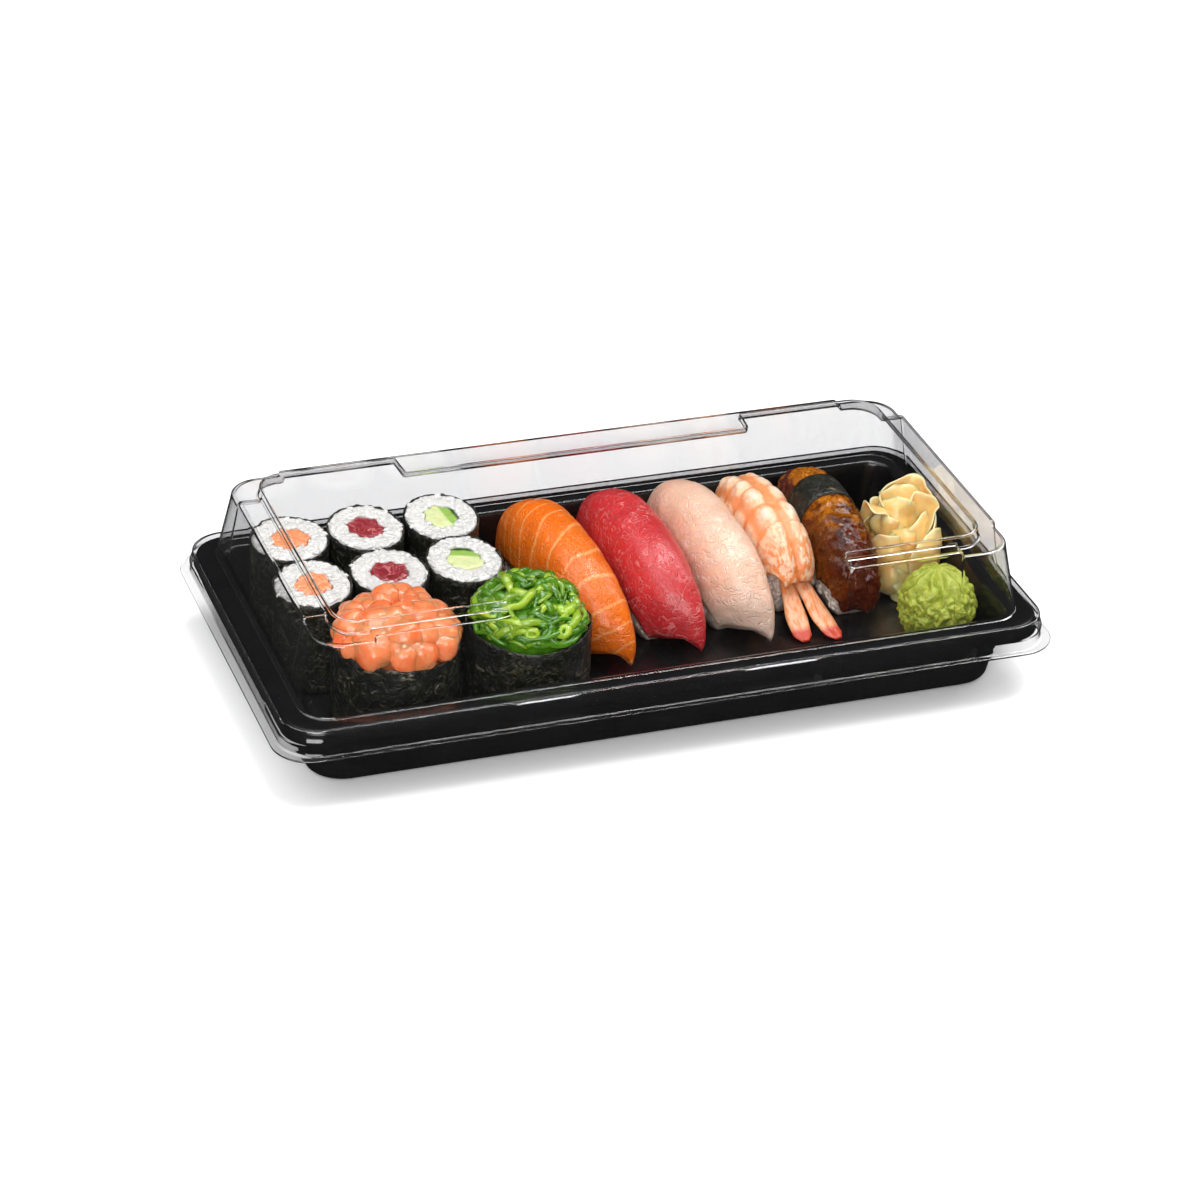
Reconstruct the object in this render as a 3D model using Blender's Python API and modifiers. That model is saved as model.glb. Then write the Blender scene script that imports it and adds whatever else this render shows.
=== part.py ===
"""Takeaway sushi tray: a black thermoformed base, its clear lift-off lid and the sushi inside.

Metres, +Z up. The long side runs along X, the front faces -Y, and the tray stands on z = 0.
Run with: blender --background --python part.py
"""
import math

import bmesh
import bpy

GAP = 0.0003                    # clearance between pieces that touch

# ---- tray ----
RIM_X, RIM_Y = 0.1268, 0.0623   # half sizes of the flat rim
RIM_Z = 0.0270                  # height of the rim's top face
RIM_CORNER = 0.0110
LEDGE = 0.0085                  # width of the flat rim round the cavity
LIP_DROP = 0.0052               # how far the rim turns down outside
WALL_DRAFT = 0.0022             # how far the walls lean in from rim to foot
WALL_CORNER = 0.0075
FOOT_CORNER = 0.0100
FOOT_ROUND = 0.0030             # rounding between wall and foot
FOOT_WIDTH = 0.0030             # flat ring that the tray stands on
FLOOR_RAISE = 0.0036            # underside of the floor panel above the foot
TRAY_SHEET = 0.0007

# ---- lid ----
LID_SHEET = 0.0005
SKIRT_X, SKIRT_Y = 0.1284, 0.0639
SKIRT_CORNER = 0.0120
SKIRT_DROP = 0.0078             # skirt from the rim down to the flange
FLANGE_WIDTH = 0.0028
DOME_FOOT_X, DOME_FOOT_Y = 0.1212, 0.0578
DOME_TOP_X, DOME_TOP_Y = 0.1171, 0.0547
DOME_CORNER = 0.0100
STRIP_Z = 0.0535                # the ledge round the top panel
STRIP_X, STRIP_Y = 0.0075, 0.0055
PAD_DROP = 0.0017               # the corner pads lie below the ledge
PAD_X, PAD_Y = 0.0987, 0.0382   # where the corner pads begin along each side
PANEL_Z = 0.0561
PANEL_CORNER = 0.0088
RECESS_HALF = 0.0605            # half length of the notch in the panel's long sides
RECESS_DEPTH = 0.0095
STEP_RUN = 0.0008               # length of the small slopes between levels
EDGE = 0.0006                   # rounding of the lid's edges

FLOOR_Z = FLOOR_RAISE + TRAY_SHEET
FOOD_Z = FLOOR_Z + GAP          # underside of everything that rests on the floor panel

# ---- small rolls: name, centre x, centre y, height, filling ----
ROLL_X, ROLL_Y = 0.0127, 0.0137
ROLL_NORI = 0.0005
ROLL_LEAN = math.radians(4.0)   # the cut faces lean a little to the front
ROLL_SIDES = 16
ROLLS = (
    ("roll_salmon_back", -0.0999, 0.0370, 0.0340, "salmon"),
    ("roll_tuna_back", -0.0738, 0.0373, 0.0342, "tuna"),
    ("roll_cucumber_back", -0.0480, 0.0375, 0.0344, "cucumber"),
    ("roll_salmon_front", -0.1004, 0.0072, 0.0340, "salmon"),
    ("roll_tuna_front", -0.0746, 0.0086, 0.0338, "tuna"),
    ("roll_cucumber_front", -0.0488, 0.0092, 0.0342, "cucumber"),
)
CORE_RADIUS = 0.0058            # the filling seen in a roll's cut face

# ---- topped rolls with a nori band: name, x, y, radius, band height, dome height ----
CUPS = (
    ("cup_salmon", -0.0836, -0.0286, 0.0204, 0.0312, 0.0125, "salmon"),
    ("cup_seaweed", -0.0392, -0.0272, 0.0206, 0.0300, 0.0125, "seaweed"),
)
CUP_SHEET = 0.0006

# ---- hand-pressed sushi: each crown's x and y, turn, rice behind and before it, half width, height,
# then how far the slice reaches past the rice in front and behind, and how much it is cut askew ----
NIGIRI = (
    ("salmon", -0.0130, 0.0266, 7.0, 0.0208, 0.0340, 0.0100, 0.0284, 0.0076, 0.0018, 0.0072),
    ("tuna", 0.0143, 0.0264, 5.0, 0.0206, 0.0305, 0.0098, 0.0284, 0.0078, 0.0018, 0.0074),
    ("whitefish", 0.0390, 0.0264, 5.0, 0.0206, 0.0305, 0.0094, 0.0282, 0.0078, 0.0018, 0.0074),
    ("shrimp", 0.0620, 0.0262, 5.5, 0.0206, 0.0245, 0.0076, 0.0272, 0.0040, 0.0018, 0.0000),
    ("eel", 0.0834, 0.0250, 0.0, 0.0212, 0.0310, 0.0082, 0.0266, 0.0035, 0.0018, 0.0025),
)
TOPPING = 0.0062                # thickness of the slice on top
UNDER = 0.0005                  # clearance between the rice and its slice
EDGE_SHARE = 0.2                # share of that thickness left at the slice's sides
DRAPE = 72                      # how far down the sides the slice hangs, degrees from the crown
BAND_SPAN = (-10, 11)           # the eel's nori band, as angles along the rice
BAND_REACH = 88                 # how far round the band goes, degrees from the crown
BAND_CLEAR = 0.0017             # its ends stop this far above the floor
BAND_SHEET = 0.0006
# fins of the shrimp's tail: root x and y, tip x and y, widest half width
FINS = ((0.0626, 0.0005, 0.0618, -0.0188, 0.0036), (0.0674, 0.0005, 0.0732, -0.0200, 0.0036))
FIN_THICKNESS = 0.0030
# along a fin: share of its length, of its half width and of its thickness
FIN_SHAPE = ((0.0, 0.62, 1.0), (0.35, 0.62, 0.9), (0.7, 1.0, 0.55), (0.92, 0.72, 0.4), (1.0, 0.3, 0.3))
FIN_RISE = 0.0068               # how far a fin's root lies above the floor

# ---- heaps in the right end: height, centre x and y, half sizes in x and y ----
GINGER = (
    (0.0000, 0.1058, 0.0120, 0.0078, 0.0175),
    (0.0105, 0.1066, 0.0120, 0.0092, 0.0190),
    (0.0200, 0.1062, 0.0135, 0.0104, 0.0185),
    (0.0275, 0.1074, 0.0155, 0.0106, 0.0155),
    (0.0325, 0.1094, 0.0170, 0.0084, 0.0108),
    (0.0355, 0.1116, 0.0170, 0.0048, 0.0058),
)
WASABI = (
    (0.0000, 0.1026, -0.0310, 0.0106, 0.0106),
    (0.0060, 0.1026, -0.0310, 0.0130, 0.0130),
    (0.0130, 0.1026, -0.0310, 0.0135, 0.0135),
    (0.0200, 0.1026, -0.0310, 0.0118, 0.0118),
    (0.0262, 0.1026, -0.0310, 0.0080, 0.0080),
    (0.0296, 0.1026, -0.0310, 0.0036, 0.0036),
)


# ---------------------------------------------------------------- helpers
def clear_scene():
    for thing in list(bpy.data.objects):
        bpy.data.objects.remove(thing, do_unlink=True)


def new_collection(name):
    group = bpy.data.collections.new(name)
    bpy.context.scene.collection.children.link(group)
    return group


def material(name, colour, roughness, transmission=0.0):
    made = bpy.data.materials.new(name)
    made.use_nodes = True
    shader = made.node_tree.nodes["Principled BSDF"]
    shader.inputs["Base Color"].default_value = (*colour, 1.0)
    shader.inputs["Roughness"].default_value = roughness
    shader.inputs["Transmission Weight"].default_value = transmission
    made.diffuse_color = (*colour, 1.0)
    return made


def add_object(name, mesh, look, group):
    thing = bpy.data.objects.new(name, mesh)
    thing.data.materials.append(look)
    group.objects.link(thing)
    return thing


def mesh_from(name, work, smooth_angle=35.0):
    """Finishes a bmesh: faces out, smooth but for its sharp edges."""
    bmesh.ops.recalc_face_normals(work, faces=work.faces)
    mesh = bpy.data.meshes.new(name)
    work.to_mesh(mesh)
    work.free()
    mesh.shade_smooth()
    mesh.set_sharp_from_angle(angle=math.radians(smooth_angle))
    return mesh


def bridge(work, lower, upper, closed=True):
    """Quads between two rows of vertices."""
    count = len(lower)
    for i in range(count if closed else count - 1):
        j = (i + 1) % count
        work.faces.new((lower[i], lower[j], upper[j], upper[i]))


def loft(work, rings, capped=True, looped=False):
    """Closed rings of points joined in order, with flat end caps or with the last ring back on the first."""
    rows = [[work.verts.new(point) for point in ring] for ring in rings]
    for lower, upper in zip(rows, rows[1:]):
        bridge(work, lower, upper)
    if looped:
        bridge(work, rows[-1], rows[0])
    elif capped:
        work.faces.new(list(reversed(rows[0])))
        work.faces.new(rows[-1])
    return rows


def arc(cx, cy, radius, start, end, steps):
    """Points on a circle, both ends included; angles in degrees."""
    angles = [math.radians(start + (end - start) * i / steps) for i in range(steps + 1)]
    return [(cx + radius * math.cos(a), cy + radius * math.sin(a)) for a in angles]


# ---------------------------------------------------------------- tray
def rounded_ring(half_x, half_y, radius, z, steps=4):
    """A rounded rectangle, counter-clockwise seen from above."""
    corners = ((1, -1, -90), (1, 1, 0), (-1, 1, 90), (-1, -1, 180))
    ring = []
    for sx, sy, start in corners:
        centre = (sx * (half_x - radius), sy * (half_y - radius))
        ring += [(x, y, z) for x, y in arc(*centre, radius, start, start + 90, steps)]
    return ring


def make_tray(look, group):
    """The underside of the thermoformed sheet as an open surface, then thickened upward."""
    under = RIM_Z - TRAY_SHEET
    wall_x = RIM_X - LEDGE + TRAY_SHEET
    wall_y = RIM_Y - LEDGE + TRAY_SHEET
    foot_x = wall_x - WALL_DRAFT - FOOT_ROUND
    foot_y = wall_y - WALL_DRAFT - FOOT_ROUND
    corner = FOOT_CORNER
    profile = [                                     # inset from the foot's outer edge, height, corner
        (-FOOT_WIDTH - 0.0012, FLOOR_RAISE, corner - 0.0030),
        (-FOOT_WIDTH - 0.0004, FLOOR_RAISE - 0.0006, corner - 0.0026),
        (-FOOT_WIDTH, 0.0, corner - 0.0020),
        (0.0, 0.0, corner),
        (FOOT_ROUND * 0.7, FOOT_ROUND * 0.3, corner + 0.0015),
        (FOOT_ROUND, FOOT_ROUND, corner + 0.0010),
    ]
    work = bmesh.new()
    rings = [rounded_ring(foot_x + grow, foot_y + grow, r, z) for grow, z, r in profile]
    rings += [
        rounded_ring(wall_x, wall_y, WALL_CORNER, under - 0.0008),
        rounded_ring(wall_x + 0.0008, wall_y + 0.0008, WALL_CORNER, under),
        rounded_ring(RIM_X - 0.0008, RIM_Y - 0.0008, RIM_CORNER - 0.0008, under),
        rounded_ring(RIM_X - 0.0001, RIM_Y - 0.0001, RIM_CORNER, under - 0.0008),
        rounded_ring(RIM_X + 0.0002, RIM_Y + 0.0002, RIM_CORNER, RIM_Z - LIP_DROP),
    ]
    rows = loft(work, rings, capped=False)
    work.faces.new(list(reversed(rows[0])))
    tray = add_object("tray", mesh_from("tray", work), look, group)
    for face in tray.data.polygons:                 # the sheet grows up and in from this surface
        if abs(face.normal.z) > 0.99 and face.center.z < 0.0001 and face.normal.z > 0:
            tray.data.flip_normals()
            break
    sheet = tray.modifiers.new("sheet", "SOLIDIFY")
    sheet.thickness = TRAY_SHEET
    sheet.offset = -1.0
    sheet.use_even_offset = True
    return tray


# ---------------------------------------------------------------- lid
def lid_quarter(half_x, half_y, radius, level, corner_level, notch=0.0):
    """A quarter of a ring round the lid, from the front's middle to the right side's middle."""
    step = STEP_RUN / 2
    front = [(0.0, notch, 0), (RECESS_HALF - step, notch, 0), (RECESS_HALF + step, 0.0, 0),
             (PAD_X - step, 0.0, 0), (PAD_X + step, 0.0, 1)]
    points = [(x, -half_y + inward, low) for x, inward, low in front]
    points += [(x, y, 1) for x, y in arc(half_x - radius, radius - half_y, radius, -90, 0, 3)]
    points += [(half_x, -PAD_Y - step, 1), (half_x, -PAD_Y + step, 0), (half_x, 0.0, 0)]
    return [(x, y, corner_level if low else level) for x, y, low in points]


def make_lid(look, group):
    """A quarter of the film's outer surface, mirrored twice and thickened inward."""
    strip_in_x, strip_in_y = DOME_TOP_X - STRIP_X, DOME_TOP_Y - STRIP_Y
    pad_z = STRIP_Z - PAD_DROP
    ledge_z = RIM_Z + GAP + LID_SHEET + 0.0001
    notch = RECESS_DEPTH
    flange_z = ledge_z - EDGE - SKIRT_DROP
    panel_edge_z = PANEL_Z - EDGE

    def flat(half_x, half_y, radius, z):
        return lid_quarter(half_x, half_y, radius, z, z)

    rings = [
        lid_quarter(strip_in_x - 2 * EDGE, strip_in_y - 2 * EDGE, PANEL_CORNER, PANEL_Z, PANEL_Z, notch),
        lid_quarter(strip_in_x - EDGE, strip_in_y - EDGE, PANEL_CORNER, panel_edge_z, panel_edge_z, notch),
        lid_quarter(strip_in_x, strip_in_y, PANEL_CORNER, STRIP_Z, pad_z, notch),
        lid_quarter(DOME_TOP_X - EDGE, DOME_TOP_Y - EDGE, DOME_CORNER, STRIP_Z, pad_z),
        lid_quarter(DOME_TOP_X, DOME_TOP_Y, DOME_CORNER, STRIP_Z - EDGE, pad_z - EDGE),
        flat(DOME_FOOT_X, DOME_FOOT_Y, DOME_CORNER, ledge_z + EDGE),
        flat(DOME_FOOT_X + EDGE, DOME_FOOT_Y + EDGE, DOME_CORNER, ledge_z),
        flat(SKIRT_X - EDGE, SKIRT_Y - EDGE, SKIRT_CORNER, ledge_z),
        flat(SKIRT_X, SKIRT_Y, SKIRT_CORNER, ledge_z - EDGE),
        flat(SKIRT_X + EDGE, SKIRT_Y + EDGE, SKIRT_CORNER, flange_z),
        flat(SKIRT_X + EDGE + FLANGE_WIDTH, SKIRT_Y + EDGE + FLANGE_WIDTH, SKIRT_CORNER + 0.001, flange_z),
    ]
    work = bmesh.new()
    rows = [[work.verts.new(point) for point in ring] for ring in rings]
    for upper, lower in zip(rows, rows[1:]):
        bridge(work, lower, upper, closed=False)
    work.faces.new([work.verts.new((0.0, 0.0, PANEL_Z))] + rows[0])
    lid = add_object("lid", mesh_from("lid", work), look, group)
    if max(lid.data.polygons, key=lambda face: face.center.z).normal.z < 0:
        lid.data.flip_normals()
    mirror = lid.modifiers.new("mirror", "MIRROR")
    mirror.use_axis = (True, True, False)
    mirror.merge_threshold = 0.00005
    sheet = lid.modifiers.new("sheet", "SOLIDIFY")
    sheet.thickness = LID_SHEET
    sheet.offset = -1.0
    sheet.use_even_offset = True
    return lid


# ---------------------------------------------------------------- rolls
def uneven(angle, seed, amount):
    """A slow wobble round an outline, between about -amount and +amount."""
    return amount * (0.6 * math.cos(2 * angle + 1.7 * seed) + 0.4 * math.cos(3 * angle + 2.9 * seed))


def roll_outline(cx, cy, inset, seed, sides):
    """The pressed, not quite round outline of a small roll."""
    ring = []
    for i in range(sides):
        angle = 2 * math.pi * i / sides
        grow = 1.0 + uneven(angle, seed, 0.022)
        ring.append((cx + (ROLL_X * grow - inset) * math.cos(angle),
                     cy + (ROLL_Y * grow - inset) * math.sin(angle)))
    return ring


def core_outline(cx, cy, grow, seed, sides, points=7):
    """The filling's lumpy outline, pressed in by the rice around it."""
    ring = []
    for i in range(sides):
        angle = 2 * math.pi * i / sides
        radius = CORE_RADIUS * (1.0 + 0.09 * math.cos(points * angle + seed) + uneven(angle, seed, 0.10))
        ring.append((cx + (radius + grow) * math.cos(angle), cy + (radius * 1.05 + grow) * math.sin(angle)))
    return ring


def make_roll(name, cx, cy, height, filling, seed, looks, group):
    """Nori, rice and filling, each one running the whole height."""
    def top(points, drop):
        return [(x, y, FOOD_Z + height - drop + math.tan(ROLL_LEAN) * (y - cy)) for x, y in points]

    def base(points):
        return [(x, y, FOOD_Z) for x, y in points]

    sides = ROLL_SIDES
    outer = roll_outline(cx, cy, 0.0, seed, sides)
    inner = roll_outline(cx, cy, ROLL_NORI, seed, sides)
    work = bmesh.new()
    loft(work, [base(inner), base(outer), top(outer, 0.0010), top(inner, 0.0008)], looped=True)
    add_object(name + "_nori", mesh_from(name + "_nori", work), looks["nori"], group)

    edge = roll_outline(cx, cy, ROLL_NORI + GAP, seed, sides)
    crown = roll_outline(cx, cy, ROLL_NORI + GAP + 0.0016, seed, sides)
    hole = core_outline(cx, cy, GAP, seed, sides)
    work = bmesh.new()
    loft(work, [base(hole), base(edge), top(edge, 0.0009), top(crown, 0.0), top(hole, 0.0003)],
         looped=True)
    add_object(name + "_rice", mesh_from(name + "_rice", work), looks["rice"], group)

    core = core_outline(cx, cy, 0.0, seed, sides)
    work = bmesh.new()
    loft(work, [base(core), top(core, 0.0009)])
    add_object(name + "_" + filling, mesh_from(name + "_" + filling, work), looks[filling], group)


# ---------------------------------------------------------------- cups
def lump(x, y, z, size, seed):
    """Smooth knobbly relief of about the given size, between -1 and 1."""
    k = 2 * math.pi / size
    return (math.sin(k * x + seed) * math.sin(k * y + 1.3 * seed)
            + math.sin(k * 0.9 * y + 2.1) * math.sin(k * 1.1 * z + seed)) / 2


def make_cup(name, cx, cy, radius, band_height, dome, filling, seed, looks, group):
    """A nori band and the heap of topping that fills it."""
    sides = 20

    def outline(inset, z_of):
        ring = []
        for i in range(sides):
            angle = 2 * math.pi * i / sides
            r = radius * (1 + uneven(angle, seed, 0.02)) - inset
            ring.append((cx + r * math.cos(angle), cy + r * math.sin(angle), z_of(angle)))
        return ring

    def brim(angle):
        return FOOD_Z + band_height + 0.0006 * math.cos(3 * angle + seed)

    work = bmesh.new()
    loft(work, [outline(CUP_SHEET, lambda a: FOOD_Z), outline(0.0, lambda a: FOOD_Z),
                outline(0.0, brim), outline(CUP_SHEET, brim)], looped=True)
    add_object(name + "_nori", mesh_from(name + "_nori", work), looks["nori"], group)

    inset = CUP_SHEET + GAP
    size, depth = (0.0060, 0.0012) if filling == "salmon" else (0.0045, 0.0010)
    rings = [outline(inset, lambda a: FOOD_Z), outline(inset, lambda a: brim(a) - 0.0010)]
    rows = 6
    for j in range(rows):
        tilt = math.pi / 2 * (j + 0.4) / rows
        spread = math.cos(tilt) ** 0.75
        bumps = depth if j else 0.0
        ring = []
        for i in range(sides):
            angle = 2 * math.pi * (i + 0.5 * (j % 2)) / sides
            r = (radius * (1 + uneven(angle, seed, 0.02)) - inset - 0.0001) * spread
            x, y = r * math.cos(angle), r * math.sin(angle)
            z = band_height + dome * math.sin(tilt)
            push = 1 + bumps * lump(x, y, z, size, seed) / radius
            ring.append((cx + x * push, cy + y * push, FOOD_Z + z + bumps * lump(y, z, x, size, seed)))
        rings.append(ring)
    work = bmesh.new()
    loft(work, rings)
    add_object(name + "_" + filling, mesh_from(name + "_" + filling, work), looks["cup_" + filling], group)


# ---------------------------------------------------------------- hand-pressed sushi
class Loaf:
    """A long rounded mound with its crown over (x, y); larger copies nest round smaller ones."""

    def __init__(self, x, y, turn, back, front, half_width, height):
        self.x, self.y, self.turn = x, y, math.radians(turn)
        self.back, self.front = back, front
        self.half_width, self.height = half_width, height

    def point(self, along, across, grow=0.0, ahead=0.0, behind=0.0):
        """along and across are angles from the crown, positive to the front and to the right."""
        front = along > 0
        reach = self.front + ahead if front else self.back + behind
        rise = math.cos(along) ** (0.75 if front else 0.50)
        width = math.cos(along) ** (0.28 if front else 0.42)
        out = (reach + grow) * math.sin(along)
        side = (self.half_width + grow) * width * math.copysign(abs(math.sin(across)) ** 0.85, across)
        up = (self.height + grow) * rise * math.cos(across) ** 0.60
        x = self.x + out * math.sin(self.turn) + side * math.cos(self.turn)
        y = self.y - out * math.cos(self.turn) + side * math.sin(self.turn)
        return x, y, FOOD_Z + up


class Slice:
    """What lies on a loaf: even over the crown, thinner to its sides and ends, cut askew."""

    def __init__(self, loaf, ahead, behind, skew, span=(-82, 83), relief=None):
        self.loaf, self.ahead, self.behind, self.skew = loaf, ahead, behind, skew
        self.span, self.relief = span, relief

    def point(self, along, across, share, clear=0.0):
        """share 0 is the underside and 1 the top; clear lifts the point off the surface."""
        lean = math.sin(math.radians(across))
        t = (along - self.span[0]) / (self.span[1] - self.span[0])
        taper = 0.45 + 0.55 * (1 - min(1.0, abs(2 * t - 1)) ** 4)
        thick = TOPPING * (EDGE_SHARE + (1 - EDGE_SHARE) * (1 - lean * lean)) * taper
        if self.relief:
            thick += self.relief(t, across / DRAPE)
        return self.loaf.point(math.radians(along), math.radians(across), UNDER + share * thick + clear,
                               self.ahead + self.skew * lean, self.behind - 0.3 * self.skew * lean)

    def mesh(self, name, stations, around=8):
        rings = []
        for i in range(stations):
            along = self.span[0] + (self.span[1] - self.span[0]) * i / (stations - 1)
            angles = [DRAPE * (2 * j / around - 1) for j in range(around + 1)]
            over = [self.point(along, angle, 1.0) for angle in angles]
            under = [self.point(along, angle, 0.0) for angle in reversed(angles)]
            rings.append(over + under)
        work = bmesh.new()
        loft(work, rings)
        return mesh_from(name, work, 50)


def make_rice(name, loaf, look, group):
    stations, around = 8, 8
    rings = []
    for i in range(stations):
        along = math.radians(-78 + 156 * i / (stations - 1))
        over = [loaf.point(along, math.radians(-84 + 168 * j / around)) for j in range(around + 1)]
        middle = [(over[0][k] + over[-1][k]) / 2 for k in range(2)]
        under = [(middle[0] + (p[0] - middle[0]) * 0.86, middle[1] + (p[1] - middle[1]) * 0.86, FOOD_Z)
                 for p in (over[-1], over[0])]
        rings.append(over + under)
    work = bmesh.new()
    loft(work, rings)
    return add_object(name, mesh_from(name, work), look, group)


def shrimp_relief(t, u):
    """Six rounded segments and the groove along the middle."""
    return 0.0005 * math.cos(12 * math.pi * t) - 0.0009 * math.exp(-(u / 0.16) ** 2)


def make_fin(root_x, root_y, tip_x, tip_y, half_width, look, group):
    """One flat tail fin, from inside the body's end down to the floor."""
    length = math.hypot(tip_x - root_x, tip_y - root_y)
    ahead = ((tip_x - root_x) / length, (tip_y - root_y) / length)
    rings = []
    for t, wide, thick in FIN_SHAPE:
        height = FIN_THICKNESS * thick
        z = FOOD_Z + height / 2 + FIN_RISE * (1 - t) ** 1.6
        ring = []
        for i in range(8):
            angle = math.pi / 4 * i
            side = half_width * wide * math.cos(angle)
            ring.append((root_x + (tip_x - root_x) * t + ahead[1] * side,
                         root_y + (tip_y - root_y) * t - ahead[0] * side,
                         z + height / 2 * math.sin(angle)))
        rings.append(ring)
    work = bmesh.new()
    loft(work, rings)
    fin = add_object("fin", mesh_from("fin", work), look, group)
    fin.hide_render = True
    fin.display_type = "WIRE"
    return fin


def make_band(name, top, look, group):
    """A strip of nori over the slice and down both sides of the rice."""
    lines, across = 4, 12
    rings = []
    for j in range(across + 1):
        angle = BAND_REACH * (2 * j / across - 1)
        held = max(-DRAPE, min(DRAPE, angle))
        below = max(0.0, abs(angle) - DRAPE) / (BAND_REACH - DRAPE)
        ring = []
        for clear, order in ((2 * GAP, 1), (2 * GAP + BAND_SHEET, -1)):
            for i in range(lines)[::order]:
                along = BAND_SPAN[0] + (BAND_SPAN[1] - BAND_SPAN[0]) * i / (lines - 1)
                x, y, z = top.point(along, held, 1.0, clear)
                ring.append((x, y, z + (FOOD_Z + BAND_CLEAR - z) * below))
        rings.append(ring)
    work = bmesh.new()
    loft(work, rings)
    return add_object(name, mesh_from(name, work), look, group)


def make_nigiri(row, looks, group, cutters):
    name, ahead, behind, skew = row[0], *row[8:]
    loaf = Loaf(*row[1:8])
    title = "nigiri_" + name
    make_rice(title + "_rice", loaf, looks["rice"], group)
    relief = shrimp_relief if name == "shrimp" else None
    top = Slice(loaf, ahead, behind, skew, relief=relief)
    fish = add_object(title, top.mesh(title, 17 if relief else 11), looks[name], group)
    if name == "shrimp":
        for number, fin in enumerate(FINS):
            join = fish.modifiers.new("fin " + str(number), "BOOLEAN")
            join.operation = "UNION"
            join.solver = "EXACT"
            join.object = make_fin(*fin, looks[name], cutters)
    if name == "eel":
        make_band(title + "_nori", top, looks["nori"], group)


# ---------------------------------------------------------------- heaps
def make_heap(name, levels, size, depth, seed, look, group, sides=18):
    """A heap built of rings; relief of the given size makes its outline uneven."""
    rings = []
    for row, (height, cx, cy, half_x, half_y) in enumerate(levels):
        ring = []
        for i in range(sides):
            angle = 2 * math.pi * (i + 0.5 * (row % 2)) / sides
            x, y = half_x * math.cos(angle), half_y * math.sin(angle)
            push = 1.0 + (depth * lump(x, y, height, size, seed) / half_x if row else 0.0)
            lift = depth * 0.6 * lump(y, height, x, size, seed + 1) if row else 0.0
            ring.append((cx + x * push, cy + y * push, FOOD_Z + height + lift))
        rings.append(ring)
    work = bmesh.new()
    loft(work, rings)
    return add_object(name, mesh_from(name, work), look, group)


# ---------------------------------------------------------------- the whole
def main():
    clear_scene()
    group = new_collection("sushi_tray")
    cutters = new_collection("joined pieces")
    looks = {
        "tray": material("tray_black", (0.012, 0.012, 0.013), 0.25),
        "lid": material("lid_clear", (0.95, 0.96, 0.97), 0.05, transmission=1.0),
        "nori": material("nori", (0.020, 0.026, 0.016), 0.50),
        "rice": material("rice", (0.86, 0.85, 0.81), 0.45),
        "salmon": material("salmon", (0.86, 0.30, 0.09), 0.35),
        "tuna": material("tuna", (0.62, 0.06, 0.07), 0.35),
        "cucumber": material("cucumber", (0.55, 0.68, 0.25), 0.35),
        "cup_salmon": material("salmon_pieces", (0.86, 0.33, 0.17), 0.30),
        "cup_seaweed": material("seaweed", (0.12, 0.33, 0.04), 0.25),
        "whitefish": material("white_fish", (0.85, 0.66, 0.58), 0.30),
        "shrimp": material("shrimp", (0.88, 0.48, 0.27), 0.35),
        "eel": material("eel", (0.25, 0.09, 0.03), 0.20),
        "ginger": material("ginger", (0.85, 0.71, 0.42), 0.35),
        "wasabi": material("wasabi", (0.52, 0.64, 0.20), 0.55),
    }
    make_tray(looks["tray"], group)
    make_lid(looks["lid"], group)
    for seed, row in enumerate(ROLLS):
        make_roll(*row, seed, looks, group)
    for seed, row in enumerate(CUPS):
        make_cup(*row, seed + 1, looks, group)
    for row in NIGIRI:
        make_nigiri(row, looks, group, cutters)
    make_heap("ginger", GINGER, 0.0110, 0.0014, 0.7, looks["ginger"], group)
    make_heap("wasabi", WASABI, 0.0075, 0.0012, 1.9, looks["wasabi"], group)


main()
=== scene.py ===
import math
import random

import bmesh
import bpy
import numpy as np
from mathutils import Matrix, Vector, noise


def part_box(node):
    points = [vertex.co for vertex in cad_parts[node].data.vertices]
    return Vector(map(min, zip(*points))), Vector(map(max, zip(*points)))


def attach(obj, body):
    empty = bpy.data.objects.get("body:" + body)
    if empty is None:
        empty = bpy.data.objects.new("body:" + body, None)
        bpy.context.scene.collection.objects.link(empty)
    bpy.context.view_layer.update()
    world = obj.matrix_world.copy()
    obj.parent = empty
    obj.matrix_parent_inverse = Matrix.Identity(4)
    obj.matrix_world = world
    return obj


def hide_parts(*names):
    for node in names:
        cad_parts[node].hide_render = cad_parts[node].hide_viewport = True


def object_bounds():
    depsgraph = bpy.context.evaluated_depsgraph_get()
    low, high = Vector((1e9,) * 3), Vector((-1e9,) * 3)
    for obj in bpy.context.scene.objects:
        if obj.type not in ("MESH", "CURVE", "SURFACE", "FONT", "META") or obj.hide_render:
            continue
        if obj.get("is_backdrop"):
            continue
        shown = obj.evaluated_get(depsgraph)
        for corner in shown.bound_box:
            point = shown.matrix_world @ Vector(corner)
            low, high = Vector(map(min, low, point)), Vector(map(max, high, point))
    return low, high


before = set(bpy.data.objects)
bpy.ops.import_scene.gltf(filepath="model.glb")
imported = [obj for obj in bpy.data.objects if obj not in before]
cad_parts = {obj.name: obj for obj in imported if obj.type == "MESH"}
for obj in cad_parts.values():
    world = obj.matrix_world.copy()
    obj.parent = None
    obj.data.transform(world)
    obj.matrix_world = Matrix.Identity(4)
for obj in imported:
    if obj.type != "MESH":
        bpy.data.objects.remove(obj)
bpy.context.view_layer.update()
gap = 0.0003
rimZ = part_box("tray")[1].z                          # the tray's rim
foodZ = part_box("wasabi")[0].z                       # what the food stands on
print("frame loaded")


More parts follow.
